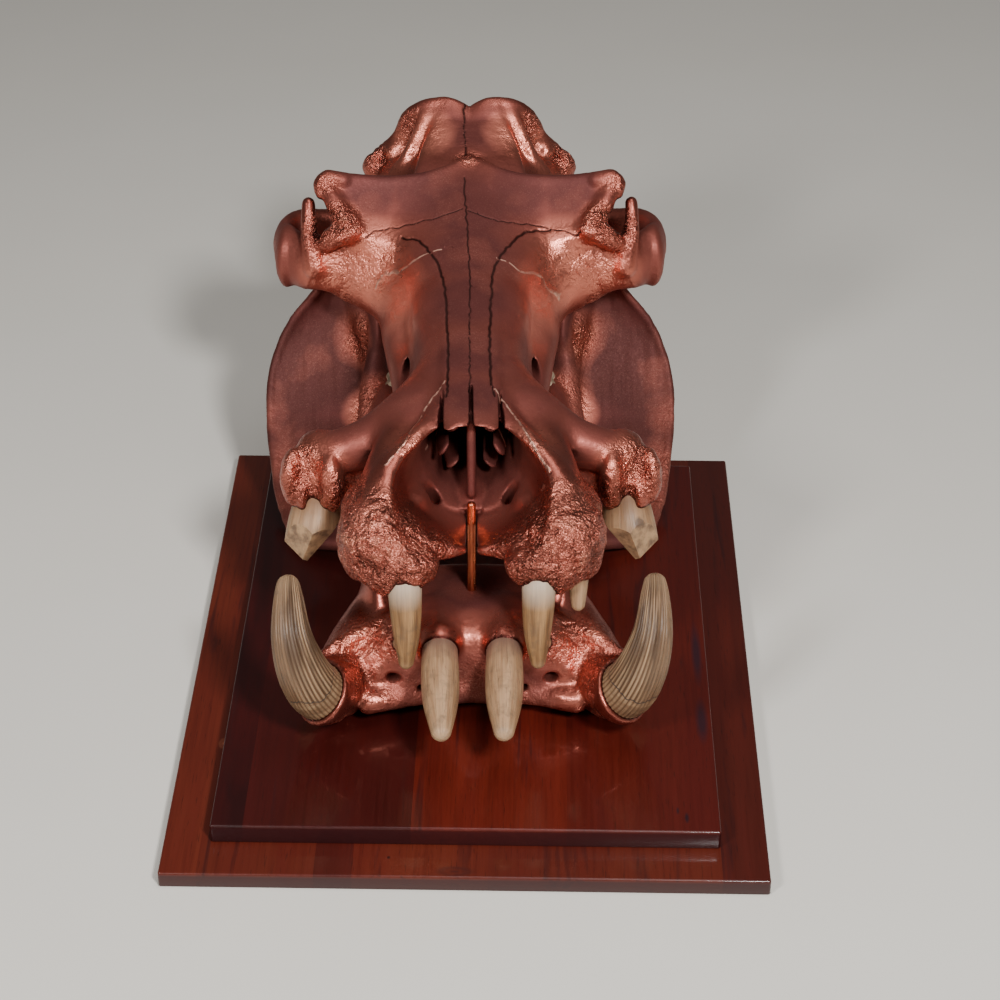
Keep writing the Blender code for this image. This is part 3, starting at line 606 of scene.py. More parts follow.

# Places where a highlight is painted into the paint's colour, laid out the same way
CRANIUM_PAINTED_HIGHLIGHT = [
    (100, 636, 308, 56, 1.0), (142, 652, 290, 44, 0.9), (74, 588, 296, 46, 0.8), (70, 540, 290, 40, 0.4),
    (50, 782, 386, 40, 1.0), (72, 800, 356, 38, 0.8), (88, 238, 262, 38, 0.8), (60, 218, 232, 32, 0.6),
    (62, 312, 290, 30, 0.6), (160, 348, 246, 34, 0.7), (140, 340, 246, 24, 0.5), (68, 206, 200, 24, 0.5)]
MANDIBLE_PAINTED_HIGHLIGHT = [
    (0, 230, 130, 26, 0.35), (50, 226, 128, 30, 0.5), (104, 236, 118, 40, 0.8), (120, 200, 62, 44, 0.7),
    (116, 640, 128, 30, 0.7), (112, 600, 108, 26, 0.6)]

# Seams between the roof's bones: x and y along each, its width and its depth. A seam that stands proud has
# a depth below zero.
SEAMS = [
    ([(-5, 700), (-5, 665), (-3, 627), (-1, 576), (-1, 517), (-1, 443), (-1, 366)], 0.8, 1.0),
    ([(-72, 639), (-50, 621), (-34, 583), (-26, 535), (-23, 457), (-23, 388), (-24, 361)], 1.2, 1.7),
    ([(85, 648), (58, 639), (37, 608), (24, 572), (21, 523), (19, 455), (20, 388), (23, 362)], 1.2, 1.7),
    ([(-8, 658), (-38, 651), (-87, 649), (-111, 640)], 0.7, 0.7),
    ([(-2, 655), (28, 645), (71, 650), (85, 649), (116, 639)], 0.7, 0.7),
    ([(-31, 605), (-63, 605), (-90, 620), (-101, 622)], 0.8, -0.5),
    ([(28, 591), (52, 587), (73, 606), (84, 605), (97, 616)], 0.8, -0.5),
    ([(-25, 389), (-45, 357), (-63, 308), (-82, 283)], 1.0, -0.7),
    ([(20, 378), (38, 346), (56, 307), (74, 277)], 1.0, -0.7),
    ([(-5, 814), (-6, 781), (-4, 736)], 0.9, 1.3)]
# Seams lie only on skin above this height that faces up by more than this much
SEAM_FLOOR = 250
FACES_UP = 0.15
# Length of the pieces of a seam and how far it wanders
SEAM_STEP = 2.5
SEAM_WANDER = 1.2
# How far out from the skin the hollows are felt for, for the painted shade in them: close by and farther off
NEAR_HOLLOW, WIDE_HOLLOW = 6, 22


def lumps(points, size, seed):
    """Smooth random relief from -1 to 1, with lumps of about the given size."""
    grid = points / size
    base = np.floor(grid).astype(np.int64)
    part = grid - base
    part = part * part * (3 - 2 * part)
    total = np.zeros(len(points))
    for corner in range(8):
        step = np.array([corner & 1, corner >> 1 & 1, corner >> 2 & 1])
        cell = base + step
        mixed = cell[:, 0] * 73856093 ^ cell[:, 1] * 19349663 ^ cell[:, 2] * 83492791 ^ seed * 40503
        mixed = (mixed ^ mixed >> 13) * 1274126177
        value = ((mixed ^ mixed >> 16) & 0xFFFF) / 32767.5 - 1
        total += value * np.prod(np.where(step, part, 1 - part), 1)
    return total


def how_rough(points, places):
    """How strongly each point belongs to the given places, from 0 to 1."""
    total = np.zeros(len(points))
    for x, y, z, reach, most in places:
        away = np.linalg.norm(np.column_stack([np.abs(points[:, 0]), points[:, 1:]]) - (x, y, z), axis=1)
        total = np.maximum(total, most * np.clip(1.6 * (1 - away / reach), 0, 1))
    return total


def relief(points, rough, seed):
    """How far the skin stands out: knobs and pits where it is rough, faint waves elsewhere."""
    large = lumps(points, 24, seed + 4)
    coarse = 2.4 * np.abs(lumps(points, 15, seed)) - 1
    middle = 2.4 * np.abs(lumps(points, 8.5, seed + 1)) - 1
    fine = lumps(points, 4.4, seed + 2)
    waves = 0.4 * lumps(points, 26, seed + 3) + 0.08 * fine
    return rough * (1.9 * large + 1.1 * coarse + 0.8 * middle + 0.6 * fine) + waves


def jaw_streaks(points, seed):
    """Fine ridges that run down the flared angles of the jaw."""
    x, y, z = np.abs(points[:, 0]), points[:, 1], points[:, 2]
    where = np.clip((x - 118) / 25, 0, 1) * np.clip((y - 470) / 60, 0, 1) * np.clip((236 - z) / 30, 0, 1)
    fan = np.column_stack([x / 5.5, (y + 0.6 * z) / 70, points[:, 0] / 200])
    return where * (0.55 * lumps(fan, 1, seed) + 0.25 * lumps(fan * (2.3, 1.5, 1), 1, seed + 1))


def seam_pieces():
    """Every seam as short straight pieces that wander a little: both ends, width and depth."""
    pieces = []
    for number, (places, width, depth) in enumerate(SEAMS):
        length = np.linalg.norm(np.diff(places, axis=0), axis=1).sum()
        line = curve_through(places, int(length / SEAM_STEP) + 2)
        spot = np.column_stack([line, np.full(len(line), 50.0 * number)])
        line = line + SEAM_WANDER * np.column_stack([lumps(spot, 5, 1), lumps(spot, 5, 2)])
        pieces += [(a, b, width, depth) for a, b in zip(line[:-1], line[1:])]
    return pieces


def near_seams(points, pieces):
    """Seen from above: distance to the nearest seam, how deep the seam is at each point, and how near its
    line is, below zero beside a seam that stands proud."""
    nearest = np.full(len(points), 99.0)
    depth = np.zeros(len(points))
    mark = np.zeros(len(points))
    for a, b, width, deep in pieces:
        way = b - a
        share = np.clip((points - a) @ way / (way @ way), 0, 1)
        away = np.linalg.norm(points - a - share[:, None] * way, axis=1)
        nearest = np.minimum(nearest, away)
        dip = deep * np.exp(-(away / width) ** 2)
        depth = np.where(np.abs(dip) > np.abs(depth), dip, depth)
        close = np.clip(1 - away / (4 * width), 0, 1) * np.sign(deep)
        mark = np.where(np.abs(close) > np.abs(mark), close, mark)
    return nearest, depth, mark


def refine_seams(thing, pieces):
    """Cut the faces beside the seams finer, so that the grooves are real."""
    with edited(thing.data) as shape:
        for reach in ((4.4, 2.6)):
            shape.faces.ensure_lookup_table()
            shape.edges.ensure_lookup_table()
            shape.edges.index_update()
            middles = np.array([face.calc_center_median() for face in shape.faces])
            up = np.array([face.normal.z for face in shape.faces])
            high = np.flatnonzero((middles[:, 2] > SEAM_FLOOR) & (up > FACES_UP))
            beside = high[near_seams(middles[high, :2], pieces)[0] < reach]
            numbers = sorted({edge.index for index in beside for edge in shape.faces[index].edges})
            bmesh.ops.subdivide_edges(
                shape, edges=[shape.edges[k] for k in numbers], cuts=1, use_grid_fill=True)
            bmesh.ops.triangulate(shape, faces=[face for face in shape.faces if len(face.verts) > 3])


# Meshes

def wire_up(name, points, faces, edges=()):
    """A scene object from points and faces of one kind, or from points and edges."""
    mesh = bpy.data.meshes.new(name)
    mesh.vertices.add(len(points))
    mesh.vertices.foreach_set("co", np.asarray(points, np.float32).ravel())
    if len(edges):
        mesh.edges.add(len(edges))
        mesh.edges.foreach_set("vertices", np.asarray(edges).ravel())
    else:
        faces = np.asarray(faces)
        mesh.loops.add(faces.size)
        mesh.loops.foreach_set("vertex_index", faces.ravel())
        mesh.polygons.add(len(faces))
        mesh.polygons.foreach_set("loop_start", np.arange(0, faces.size, faces.shape[1]))
    mesh.update()
    mesh.validate()
    made = bpy.data.objects.new(name, mesh)
    bpy.context.scene.collection.objects.link(made)
    return made


def places_of(mesh):
    """The places of a mesh's points."""
    places = np.empty(3 * len(mesh.vertices), np.float32)
    mesh.vertices.foreach_get("co", places)
    return places.reshape(-1, 3).astype(float)


def put_places(mesh, places):
    """Move a mesh's points."""
    mesh.vertices.foreach_set("co", np.asarray(places, np.float32).ravel())
    mesh.update()


def store(mesh, name, values):
    """Keep a number for each point of a mesh, for its material."""
    kept = mesh.attributes.new(name, "FLOAT", "POINT")
    kept.data.foreach_set("value", np.asarray(values, np.float32))


def settle(thing):
    """Put the result of an object's modifiers into its mesh."""
    graph = bpy.context.evaluated_depsgraph_get()
    result = bpy.data.meshes.new_from_object(thing.evaluated_get(graph))
    thing.modifiers.clear()
    old = thing.data
    result.name = thing.name
    thing.data = result
    bpy.data.meshes.remove(old)


@contextmanager
def edited(mesh):
    """The mesh's faces to work on, put back into it afterwards."""
    shape = bmesh.new()
    shape.from_mesh(mesh)
    yield shape
    shape.to_mesh(mesh)
    shape.free()


def thin_out(thing, most):
    """Bring a mesh down to at most the given number of triangles."""
    triangles = sum(len(p.vertices) - 2 for p in thing.data.polygons)
    if triangles > most:
        light = thing.modifiers.new("light", "DECIMATE")
        light.ratio = most / triangles
        settle(thing)


def place_piece(made, node):
    """Put a finished piece in the place of its solid."""
    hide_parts(node)
    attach(made, "root")


def socket_gap_shade(points, node):
    """How near each point of a bone is to the side of a front tooth, from 0 to 1, for the painted shade in
    the gap.
    """
    nearest = np.full(len(points), 99.0)
    for kind, (places, radii, *_) in LONG_TEETH.items():
        if kind.startswith("lower") == (node == "mandible"):
            rows = curve_through(np.column_stack([places, radii]), 50)
            side = np.column_stack([np.abs(points[:, 0]), points[:, 1:]])
            box = ((side > rows[:, :3].min(0) - 40) & (side < rows[:, :3].max(0) + 40)).all(1)
            for row in rows:
                away = np.linalg.norm(side[box] - row[:3], axis=1) - row[3]
                nearest[box] = np.minimum(nearest[box], away)
    return np.clip(1 - (nearest - 0.8) / 2.2, 0, 1)


def finish_bone(node, bone, rough_places, dull_and_shade_places, painted_highlight_places, seed, finish):
    """Mesh a bone with its relief, note what its paint needs to know and put it in place."""
    points, faces = bone.skin()
    rough = how_rough(points, rough_places)
    height = relief(points, rough, seed)
    if node == "mandible":
        height += jaw_streaks(points, seed + 7)
    points = points + height[:, None] * bone.outward(points)
    if node == "mandible":
        points[:, 2] = np.maximum(points[:, 2], BOARD_TOP + SKIN_GAP)
    made = wire_up(node + "_bone", points, faces)
    thin_out(made, MOST_TRIANGLES[node])
    if node == "cranium":
        pieces = seam_pieces()
        refine_seams(made, pieces)
    points = places_of(made.data)
    outward = bone.outward(points)
    if node == "cranium":
        high = (points[:, 2] > SEAM_FLOOR) & (outward[:, 2] > FACES_UP)
        dip, mark = np.zeros(len(points)), np.zeros(len(points))
        _, dip[high], mark[high] = near_seams(points[high, :2], pieces)
        points = points - dip[:, None] * outward
        store(made.data, "seam", mark)
    # Painted shade: how closed in each point is, and how near it lies to the side of a front tooth
    near, wide = (np.clip(1 - bone.distance(points + reach * outward) / reach, 0, 1)
                  for reach in (NEAR_HOLLOW, WIDE_HOLLOW))
    store(made.data, "hollow", np.maximum(0.5 * near + 0.5 * wide, socket_gap_shade(points, node)))
    rough = how_rough(points, rough_places)
    store(made.data, "rough", rough)
    # Height of the relief, for the painted shade in its pits and the painted highlight on its knobs
    store(made.data, "crest", 0.5 + 0.5 * np.clip(relief(points, rough, seed) / 2.6, -1, 1))
    # Painted highlight, which also lessens the painted shade of dull paint
    bright = how_rough(points, painted_highlight_places)
    store(made.data, "bright", bright)
    store(made.data, "dull", how_rough(points, dull_and_shade_places) * (1 - 0.8 * bright))
    put_places(made.data, on_plinth(points))
    made.data.shade_smooth()
    made.data.materials.append(finish)
    place_piece(made, node)


# Long teeth

# For each tooth: places along its middle, the radius at each, and how strongly it is ribbed and ringed
LONG_TEETH = {
    "upper_canine": ([(150, 382, 230), (152, 366, 204), (155, 346, 178), (159, 331, 152), (161, 318, 124)],
                     [15, 20, 26, 27, 26], 0.5, 0.2),
    "upper_incisor_1": ([(63, 222, 206), (63, 205, 192), (62, 195, 150), (63, 189, 112)],
                        [14, 16, 13, 6], 0.6, 0.1),
    "upper_incisor_2": ([(101, 236, 204), (101, 228, 190), (101, 218, 158)], [8, 10, 6], 0.3, 0.1),
    "lower_canine": ([(116, 262, 82), (131, 212, 79), (145, 179, 92), (159, 165, 127), (169, 172, 163),
                      (172, 197, 193), (172, 214, 203)],
                     [20, 24, 27.5, 24.5, 19, 13, 8], 1.2, 0.8),
    "lower_incisor_1": ([(31, 290, 112), (31, 220, 118), (30, 150, 109), (29, 96, 100)],
                        [15, 17, 17.5, 8], 0.3, 0.15),
    "lower_incisor_2": ([(70, 250, 112), (70, 224, 118), (70, 214, 120)], [6, 6.5, 5], 0.2, 0.1)}
LOST_TOOTH = "upper_incisor_2_right"
# Where the growth rings of the lower canines end, in metres along the tooth, and their lengthwise flutes
RINGS_END = 0.118
CANINE_FLUTES = 36.0
FLUTE_WANDER = 1.2
RIBS_PER_METRE = 14.0
RINGS_PER_METRE = 260.0
# Depth of the relief on a tooth, in millimetres
RIB_DEPTH, FLUTE_DEPTH, RING_DEPTH = 1.6, 0.9, 1.8
# Worn facets: a place on the cut and the way that it faces, on the animal's left
FACETS = {
    "upper_canine": [
        ((144, 324, 168), (-0.76, -0.12, -0.62)), ((170, 322, 152), (0.62, -0.05, -0.78)),
        ((168, 324, 186), (0.50, -0.84, 0.10)), ((150, 320, 176), (-0.42, -0.86, -0.22))],
    "lower_canine": [((172, 210, 207), (-0.15, 0.45, 1.0)), ((153, 196, 194), (-0.80, 0.25, 0.55))],
    "upper_incisor_1": [((63, 200, 113), (0.1, 0.8, -0.6))]}


def put_node(tree, kind, inputs=None, **settings):
    """A new node in a tree, with its settings, and with values or other nodes' results on its sockets."""
    made = tree.nodes.new(kind)
    for name, value in settings.items():
        setattr(made, name, value)
    for key, value in (inputs or {}).items():
        if isinstance(value, bpy.types.NodeSocket):
            tree.links.new(value, made.inputs[key])
        else:
            made.inputs[key].default_value = value
    return made


def tooth_tree():
    """Geometry Nodes for a long tooth: a closed tube along a line, with lengthwise ribs and growth rings."""
    tree = bpy.data.node_groups.new("ribbed_tooth", "GeometryNodeTree")
    sockets = (("Line", "Geometry"), ("Sides", "Int"), ("Rib Fineness", "Float"), ("Rib Depth", "Float"),
               ("Flutes", "Float"), ("Flute Depth", "Float"), ("Rings Per Metre", "Float"),
               ("Ring Depth", "Float"), ("Rings End", "Float"), ("Finish", "Material"))
    for name, kind in sockets:
        tree.interface.new_socket(name, in_out="INPUT", socket_type="NodeSocket" + kind)
    tree.interface.new_socket("Tooth", in_out="OUTPUT", socket_type="NodeSocketGeometry")
    given = tree.nodes.new("NodeGroupInput").outputs

    def vector(operation, a, b, key=1):
        return put_node(tree, "ShaderNodeVectorMath", {0: a, key: b}, operation=operation).outputs["Vector"]

    def number(operation, a, b=0.0):
        return put_node(tree, "ShaderNodeMath", {0: a, 1: b}, operation=operation).outputs[0]

    def stretched(a, factor):
        return vector("SCALE", a, factor, "Scale")

    def noise(place, detail):
        return put_node(tree, "ShaderNodeTexNoise", {
            "Vector": place, "Scale": 1.0, "Detail": detail}).outputs["Fac"]

    def between(value, low, high, start=0.0, end=1.0):
        return put_node(tree, "ShaderNodeMapRange", {
            "Value": value, 1: low, 2: high, 3: start, 4: end}).outputs["Result"]

    line = put_node(tree, "GeometryNodeMeshToCurve", {"Mesh": given["Line"]}).outputs["Curve"]
    path = put_node(tree, "GeometryNodeCaptureAttribute", {"Geometry": line})
    path.capture_items.new("FLOAT", "along")
    path.capture_items.new("FLOAT", "thick")
    thick = put_node(tree, "GeometryNodeInputNamedAttribute", {"Name": "thick"}, data_type="FLOAT")
    tree.links.new(put_node(tree, "GeometryNodeSplineParameter").outputs["Length"], path.inputs["along"])
    tree.links.new(thick.outputs["Attribute"], path.inputs["thick"])
    circle = put_node(tree, "GeometryNodeCurvePrimitiveCircle", {"Resolution": given["Sides"], "Radius": 1.0})
    ring = put_node(tree, "GeometryNodeCaptureAttribute", {"Geometry": circle.outputs["Curve"]})
    ring.capture_items.new("VECTOR", "side")
    tree.links.new(put_node(tree, "GeometryNodeInputPosition").outputs["Position"], ring.inputs["side"])
    tube = put_node(tree, "GeometryNodeCurveToMesh", {
        "Curve": path.outputs["Geometry"], "Profile Curve": ring.outputs["Geometry"],
        "Scale": thick.outputs["Attribute"], "Fill Caps": True})
    along, side = path.outputs["along"], ring.outputs["side"]
    length = put_node(tree, "ShaderNodeCombineXYZ", {"Z": along}).outputs["Vector"]
    ribs = vector("ADD", stretched(side, given["Rib Fineness"]), stretched(length, RIBS_PER_METRE))
    rings = vector("ADD", side, stretched(length, given["Rings Per Metre"]))
    rib_noise, ring_noise = noise(ribs, 2.0), noise(rings, 1.0)
    before = between(number("DIVIDE", along, given["Rings End"]), 0.85, 1.15, 1.0, 0.0)
    rib_height = number("MULTIPLY", number("SUBTRACT", rib_noise, 0.5), given["Rib Depth"])
    rib_height = number("MULTIPLY", rib_height, number("SUBTRACT", 1.25, before))
    around = put_node(tree, "ShaderNodeSeparateXYZ", {0: side}).outputs
    half_flutes = number("MULTIPLY", given["Flutes"], 0.5)
    turn = number("MULTIPLY", number("ARCTAN2", around["Y"], around["X"]), half_flutes)
    turn = number("ADD", turn, number("MULTIPLY", rib_noise, FLUTE_WANDER))
    groove = number("POWER", number("ABSOLUTE", number("SINE", turn)), 0.6)
    fluting = number("MULTIPLY", number("SUBTRACT", groove, 0.8), given["Flute Depth"])
    rib_height = number("ADD", rib_height, fluting)
    ring_height = number("MULTIPLY", number("SUBTRACT", ring_noise, 0.5), given["Ring Depth"])
    ring_height = number("MULTIPLY", ring_height, before)
    fade = between(path.outputs["thick"], 0.0, 0.008)
    height = number("MULTIPLY", number("ADD", rib_height, ring_height), fade)
    outward = put_node(tree, "GeometryNodeInputNormal").outputs["Normal"]
    shaped = put_node(tree, "GeometryNodeSetPosition", {
        "Geometry": tube.outputs["Mesh"], "Offset": stretched(outward, height)})
    grain = put_node(tree, "GeometryNodeStoreNamedAttribute", {
        "Geometry": shaped.outputs["Geometry"], "Name": "grain", "Value": vector("ADD", side, length)},
        data_type="FLOAT_VECTOR", domain="POINT")
    smooth = put_node(tree, "GeometryNodeSetShadeSmooth", {"Geometry": grain.outputs["Geometry"]})
    real = put_node(tree, "GeometryNodeRealizeInstances", {"Geometry": smooth.outputs[0]})
    dressed = put_node(tree, "GeometryNodeSetMaterial", {
        "Geometry": real.outputs[0], "Material": given["Finish"]})
    put_node(tree, "NodeGroupOutput", {"Tooth": dressed.outputs[0]})
    return tree


def run_tree(thing, tree, values):
    """Run Geometry Nodes on an object with the named values and keep the result."""
    made = thing.modifiers.new(tree.name, "NODES")
    made.node_group = tree
    for item in tree.interface.items_tree:
        if item.in_out == "INPUT" and item.name in values:
            made[item.identifier] = values[item.name]
    settle(thing)


def tooth_line(name, places, radii, count):
    """The middle line of a tooth, closer spaced and rounded off towards its tip."""
    rows = curve_through(np.column_stack([places, radii]), 6 * count)
    length = np.concatenate([[0], np.cumsum(np.linalg.norm(np.diff(rows[:, :3], axis=0), axis=1))])
    share = np.linspace(0, 1, count)
    stations = length[-1] * (0.35 * share + 0.65 * np.sin(share * math.pi / 2))
    rows = np.column_stack([np.interp(stations, length, rows[:, k]) for k in range(4)])
    left = np.clip((length[-1] - stations) / radii[-1], 0, 1)
    rows[:, 3] *= np.sqrt(np.clip(1 - (1 - left) ** 2, 0.0004, 1))
    thing = wire_up(name, on_plinth(rows[:, :3]), (), [(k, k + 1) for k in range(count - 1)])
    store(thing.data, "thick", rows[:, 3] * MM)
    return thing, rows, stations


def cut_facets(thing, facets, side):
    """Plane worn facets onto a tooth and mark their points."""
    with edited(thing.data) as shape:
        worn = shape.verts.layers.float.new("worn")
        for spot, facing in facets:
            spot, facing = np.array(spot, float), np.array(facing, float)
            spot[0] *= side
            facing[0] *= side
            place = Vector(on_plinth(spot))
            way = Vector(on_plinth(spot + facing) - on_plinth(spot)).normalized()
            everything = shape.verts[:] + shape.edges[:] + shape.faces[:]
            cut = bmesh.ops.bisect_plane(
                shape, geom=everything, plane_co=place, plane_no=way, clear_outer=True)
            rim = [part for part in cut["geom_cut"] if isinstance(part, bmesh.types.BMEdge)]
            if rim:
                bmesh.ops.contextual_create(shape, geom=rim)
                for edge in rim:
                    for corner in edge.verts:
                        corner[worn] = 1.0
        bmesh.ops.triangulate(shape, faces=[face for face in shape.faces if len(face.verts) > 4])
        bmesh.ops.recalc_face_normals(shape, faces=shape.faces)
    thing.data.shade_smooth()
    thing.data.set_sharp_from_angle(angle=math.radians(32))


def long_teeth(bones, finishes):
    """All front teeth in their sockets."""
    tree = tooth_tree()
    for kind, (places, radii, ribs, rings) in LONG_TEETH.items():
        bone = bones["mandible" if kind.startswith("lower") else "cranium"]
        for word, side in (("left", 1), ("right", -1)):
            node = kind + "_" + word
            if node == LOST_TOOTH:
                continue
            placed = np.array(places, float) * (side, 1, 1)
            thing, rows, stations = tooth_line(node + "_tooth", placed, radii, 90)
            inside = bone.distance(rows[:, :3]) < -4
            gum = stations[np.flatnonzero(inside)[-1]] if inside.any() else 0.0
            run_tree(thing, tree, {
                "Sides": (192 if kind == "lower_canine" else 96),
                "Rib Fineness": 6.0 + side * 0.2, "Rib Depth": RIB_DEPTH * ribs * MM,
                "Flutes": CANINE_FLUTES, "Flute Depth": FLUTE_DEPTH * MM if kind == "lower_canine" else 0.0,
                "Rings Per Metre": RINGS_PER_METRE, "Ring Depth": RING_DEPTH * rings * MM,
                "Rings End": RINGS_END, "Finish": finishes[kind]})
            along = np.empty(3 * len(thing.data.vertices), np.float32)
            thing.data.attributes["grain"].data.foreach_get("vector", along)
            along = along[2::3] / MM
            store(thing.data, "bare", (along - gum) / (stations[-1] - gum))
            centre = on_plinth(np.column_stack([np.interp(along, stations, rows[:, k]) for k in range(3)]))
            spoke = places_of(thing.data) - centre
            inner = -side * spoke[:, 0] / np.maximum(np.linalg.norm(spoke, axis=1), 1e-6)
            store(thing.data, "inner", 0.5 + 0.5 * inner)
            cut_facets(thing, FACETS.get(kind, ()), side)
            place_piece(thing, node)


# Cheek teeth

def cheek_tooth(node, finish):
    """A low crown with two lobes and four cusps, or one lobe in front, that fills its solid's box."""
    low, high = (np.array(corner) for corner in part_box(node))
    middle, half = (low + high) / 2, (high - low) / 2
    down = node.startswith("upper")
    molar = "molar" in node and "premolar" not in node
    around, rings = ((56, 18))
    angle = np.linspace(0, 2 * math.pi, around, endpoint=False)
    shape = (np.abs(np.cos(angle)) ** 3.2 + np.abs(np.sin(angle)) ** 3.2) ** (-1 / 3.2)
    x, y = shape * np.cos(angle), shape * np.sin(angle)
    waist = 1 - (0.17 if molar else 0.05) * np.exp(-(y / 0.22) ** 2)
    points = []
    for k in range(2 * rings):
        if k < rings:
            share = k / (rings - 1)
            inset, rise = 0.90 + 0.10 * math.sin(share * math.pi * 0.75), -1 + 1.5 * share
        else:
            share = (k - rings + 1) / rings
            inset, rise = 0.96 * math.cos(share * math.pi / 2), 0.55
        u, v = x * waist * inset, y * inset
        if k >= rings:
            cusps = sum(np.exp(-((u - a) ** 2 + (v - b * (1 if molar else 0.8)) ** 2) / 0.07)
                        for a in (-0.45, 0.45) for b in (-0.5, 0.5))
            rise = rise + np.minimum(cusps, 1) * 0.42 * math.sin(min(share * 2.2, 1) * math.pi / 2)
        points.append(np.column_stack([u, v, np.broadcast_to(rise, u.shape)]))
    points = np.vstack(points)
    side, turn = np.meshgrid(np.arange(2 * rings - 1), np.arange(around), indexing="ij")
    after = (turn + 1) % around
    quads = np.stack([side * around + turn, side * around + after, (side + 1) * around + after,
                      (side + 1) * around + turn], -1).reshape(-1, 4)
    made = wire_up(node + "_crown", points, quads)
    valley = np.clip((0.9 - points[:, 2]) * 2.2, 0, 1)
    store(made.data, "valley", np.where(np.arange(len(points)) >= around * rings, valley, 0.25))
    scale = half * (1, 1, -1 if down else 1)
    put_places(made.data, middle + points * scale)
    with edited(made.data) as shape:
        bmesh.ops.remove_doubles(shape, verts=shape.verts, dist=1e-5)
        bmesh.ops.holes_fill(shape, edges=shape.edges)
        bmesh.ops.recalc_face_normals(shape, faces=shape.faces)
    made.data.shade_smooth()
    made.data.materials.append(finish)
    place_piece(made, node)


# Plinth and rod

# Rounding of a board's upright edges, its upper edge and its lower edge, in millimetres
CORNER_ROUNDING, TOP_ROUNDING, FOOT_ROUNDING = 2.5, 5, 0.8
# Middle of the rod's ends, how far its rounded caps stay inside the solid, and its radius
ROD_TOP_Y, ROD_FOOT_Y, ROD_CAP, ROD_RADIUS = 306, 284, 1.2, 4.4


def board(node, finish):
    """A board with a rounded upper edge, as the solid but finer."""
    low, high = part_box(node)
    bpy.ops.mesh.primitive_cube_add(size=1)
    made = bpy.context.object
    made.name = node + "_varnished"
    made.data.name = made.name
    with edited(made.data) as shape:
        for corner in shape.verts:
            corner.co = Vector([(high if part > 0 else low)[k] for k, part in enumerate(corner.co)])
        upright = [edge for edge in shape.edges if abs(edge.verts[0].co.z - edge.verts[1].co.z) > 1e-4]
        bmesh.ops.bevel(
            shape, geom=upright, offset=CORNER_ROUNDING * MM, segments=5, profile=0.5, affect="EDGES")
        top = [edge for edge in shape.edges if min(corner.co.z for corner in edge.verts) > high.z - 1e-5]
        bmesh.ops.bevel(
            shape, geom=top, offset=TOP_ROUNDING * MM, segments=8, profile=0.55, affect="EDGES",
            clamp_overlap=True)
        foot = [edge for edge in shape.edges if max(corner.co.z for corner in edge.verts) < low.z + 1e-5]
        bmesh.ops.bevel(
            shape, geom=foot, offset=FOOT_ROUNDING * MM, segments=2, profile=0.5, affect="EDGES")
        bmesh.ops.recalc_face_normals(shape, faces=shape.faces)
    made.data.shade_smooth()
    made.data.set_sharp_from_angle(angle=math.radians(40))
    made.data.materials.append(finish)
    place_piece(made, node)


def prop_rod(finish):
    """The copper rod between the jaws, with a ground end."""
    low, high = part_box("jaw_prop_rod")
    top, foot = (0, ROD_TOP_Y, high.z / MM - ROD_CAP), (0, ROD_FOOT_Y, low.z / MM + ROD_CAP)
    thing, _, _ = tooth_line("jaw_prop_rod_round", [foot, top], [ROD_RADIUS, ROD_RADIUS], 40)
    tree = bpy.data.node_groups["ribbed_tooth"]
    run_tree(thing, tree, {
        "Sides": 48, "Rib Fineness": 5.0, "Rib Depth": 0.2 * MM, "Flutes": 0.0, "Flute Depth": 0.0,
        "Rings Per Metre": 600.0, "Ring Depth": 0.15 * MM,
        "Rings End": 1.0, "Finish": finish})
    place_piece(thing, "jaw_prop_rod")


# Materials

class Finish:
    """A surface finish put together from nodes."""

    def __init__(self, name):
        self.made = bpy.data.materials.new(name)
        self.made.use_nodes = True
        self.tree = self.made.node_tree
        self.shader = self.tree.nodes["Principled BSDF"]

    def place(self):
        """Object coordinates."""
        return put_node(self.tree, "ShaderNodeTexCoord").outputs["Object"]

    def stored(self, name, output="Fac"):
        """A number or vector kept on the mesh."""
        return put_node(self.tree, "ShaderNodeAttribute", attribute_name=name).outputs[output]

    def number(self, operation, a, b=0.0):
        """Arithmetic with one or two numbers."""
        return put_node(self.tree, "ShaderNodeMath", {0: a, 1: b}, operation=operation).outputs[0]

    def scaled(self, place, scale):
        """Coordinates stretched by a number for each axis."""
        stretched = put_node(self.tree, "ShaderNodeVectorMath", {0: place, 1: scale}, operation="MULTIPLY")
        return stretched.outputs[0]

    def parts(self, place):
        """X, Y and Z of a place."""
        return put_node(self.tree, "ShaderNodeSeparateXYZ", {0: place}).outputs

    def noise(self, place, scale, detail=2.0, rough=0.5, warp=0.0):
        """Cloudy noise with the given number of blotches to a metre."""
        made = put_node(self.tree, "ShaderNodeTexNoise", {
            "Vector": place, "Scale": scale, "Detail": detail, "Roughness": rough, "Distortion": warp})
        return made.outputs["Fac"]

    def between(self, value, low, high, start=0.0, end=1.0):
        """A value brought from one range to another, and kept inside it."""
        return put_node(self.tree, "ShaderNodeMapRange", {
            "Value": value, 1: low, 2: high, 3: start, 4: end}).outputs["Result"]

    def blend(self, amount, a, b):
        """The first colour turned into the second by the given amount."""
        mixed = put_node(self.tree, "ShaderNodeMix", {
            0: amount, 6: a if isinstance(a, bpy.types.NodeSocket) else (*a, 1),
            7: b if isinstance(b, bpy.types.NodeSocket) else (*b, 1)}, data_type="RGBA", blend_type="MIX")
        return mixed.outputs[2]

    def bump(self, height, distance, strength=1.0, below=None):
        """Fine relief of the given height in metres, on top of another where one is given."""
        inputs = {"Height": height, "Distance": distance, "Strength": strength}
        if below is not None:
            inputs["Normal"] = below
        return put_node(self.tree, "ShaderNodeBump", inputs).outputs["Normal"]

    def done(self, **sockets):
        """Set or link the shader's sockets, named with underscores for spaces."""
        for name, value in sockets.items():
            socket = self.shader.inputs[name.replace("_", " ")]
            if isinstance(value, bpy.types.NodeSocket):
                self.tree.links.new(value, socket)
            else:
                socket.default_value = (*value, 1) if isinstance(value, tuple) else value
        return self.made


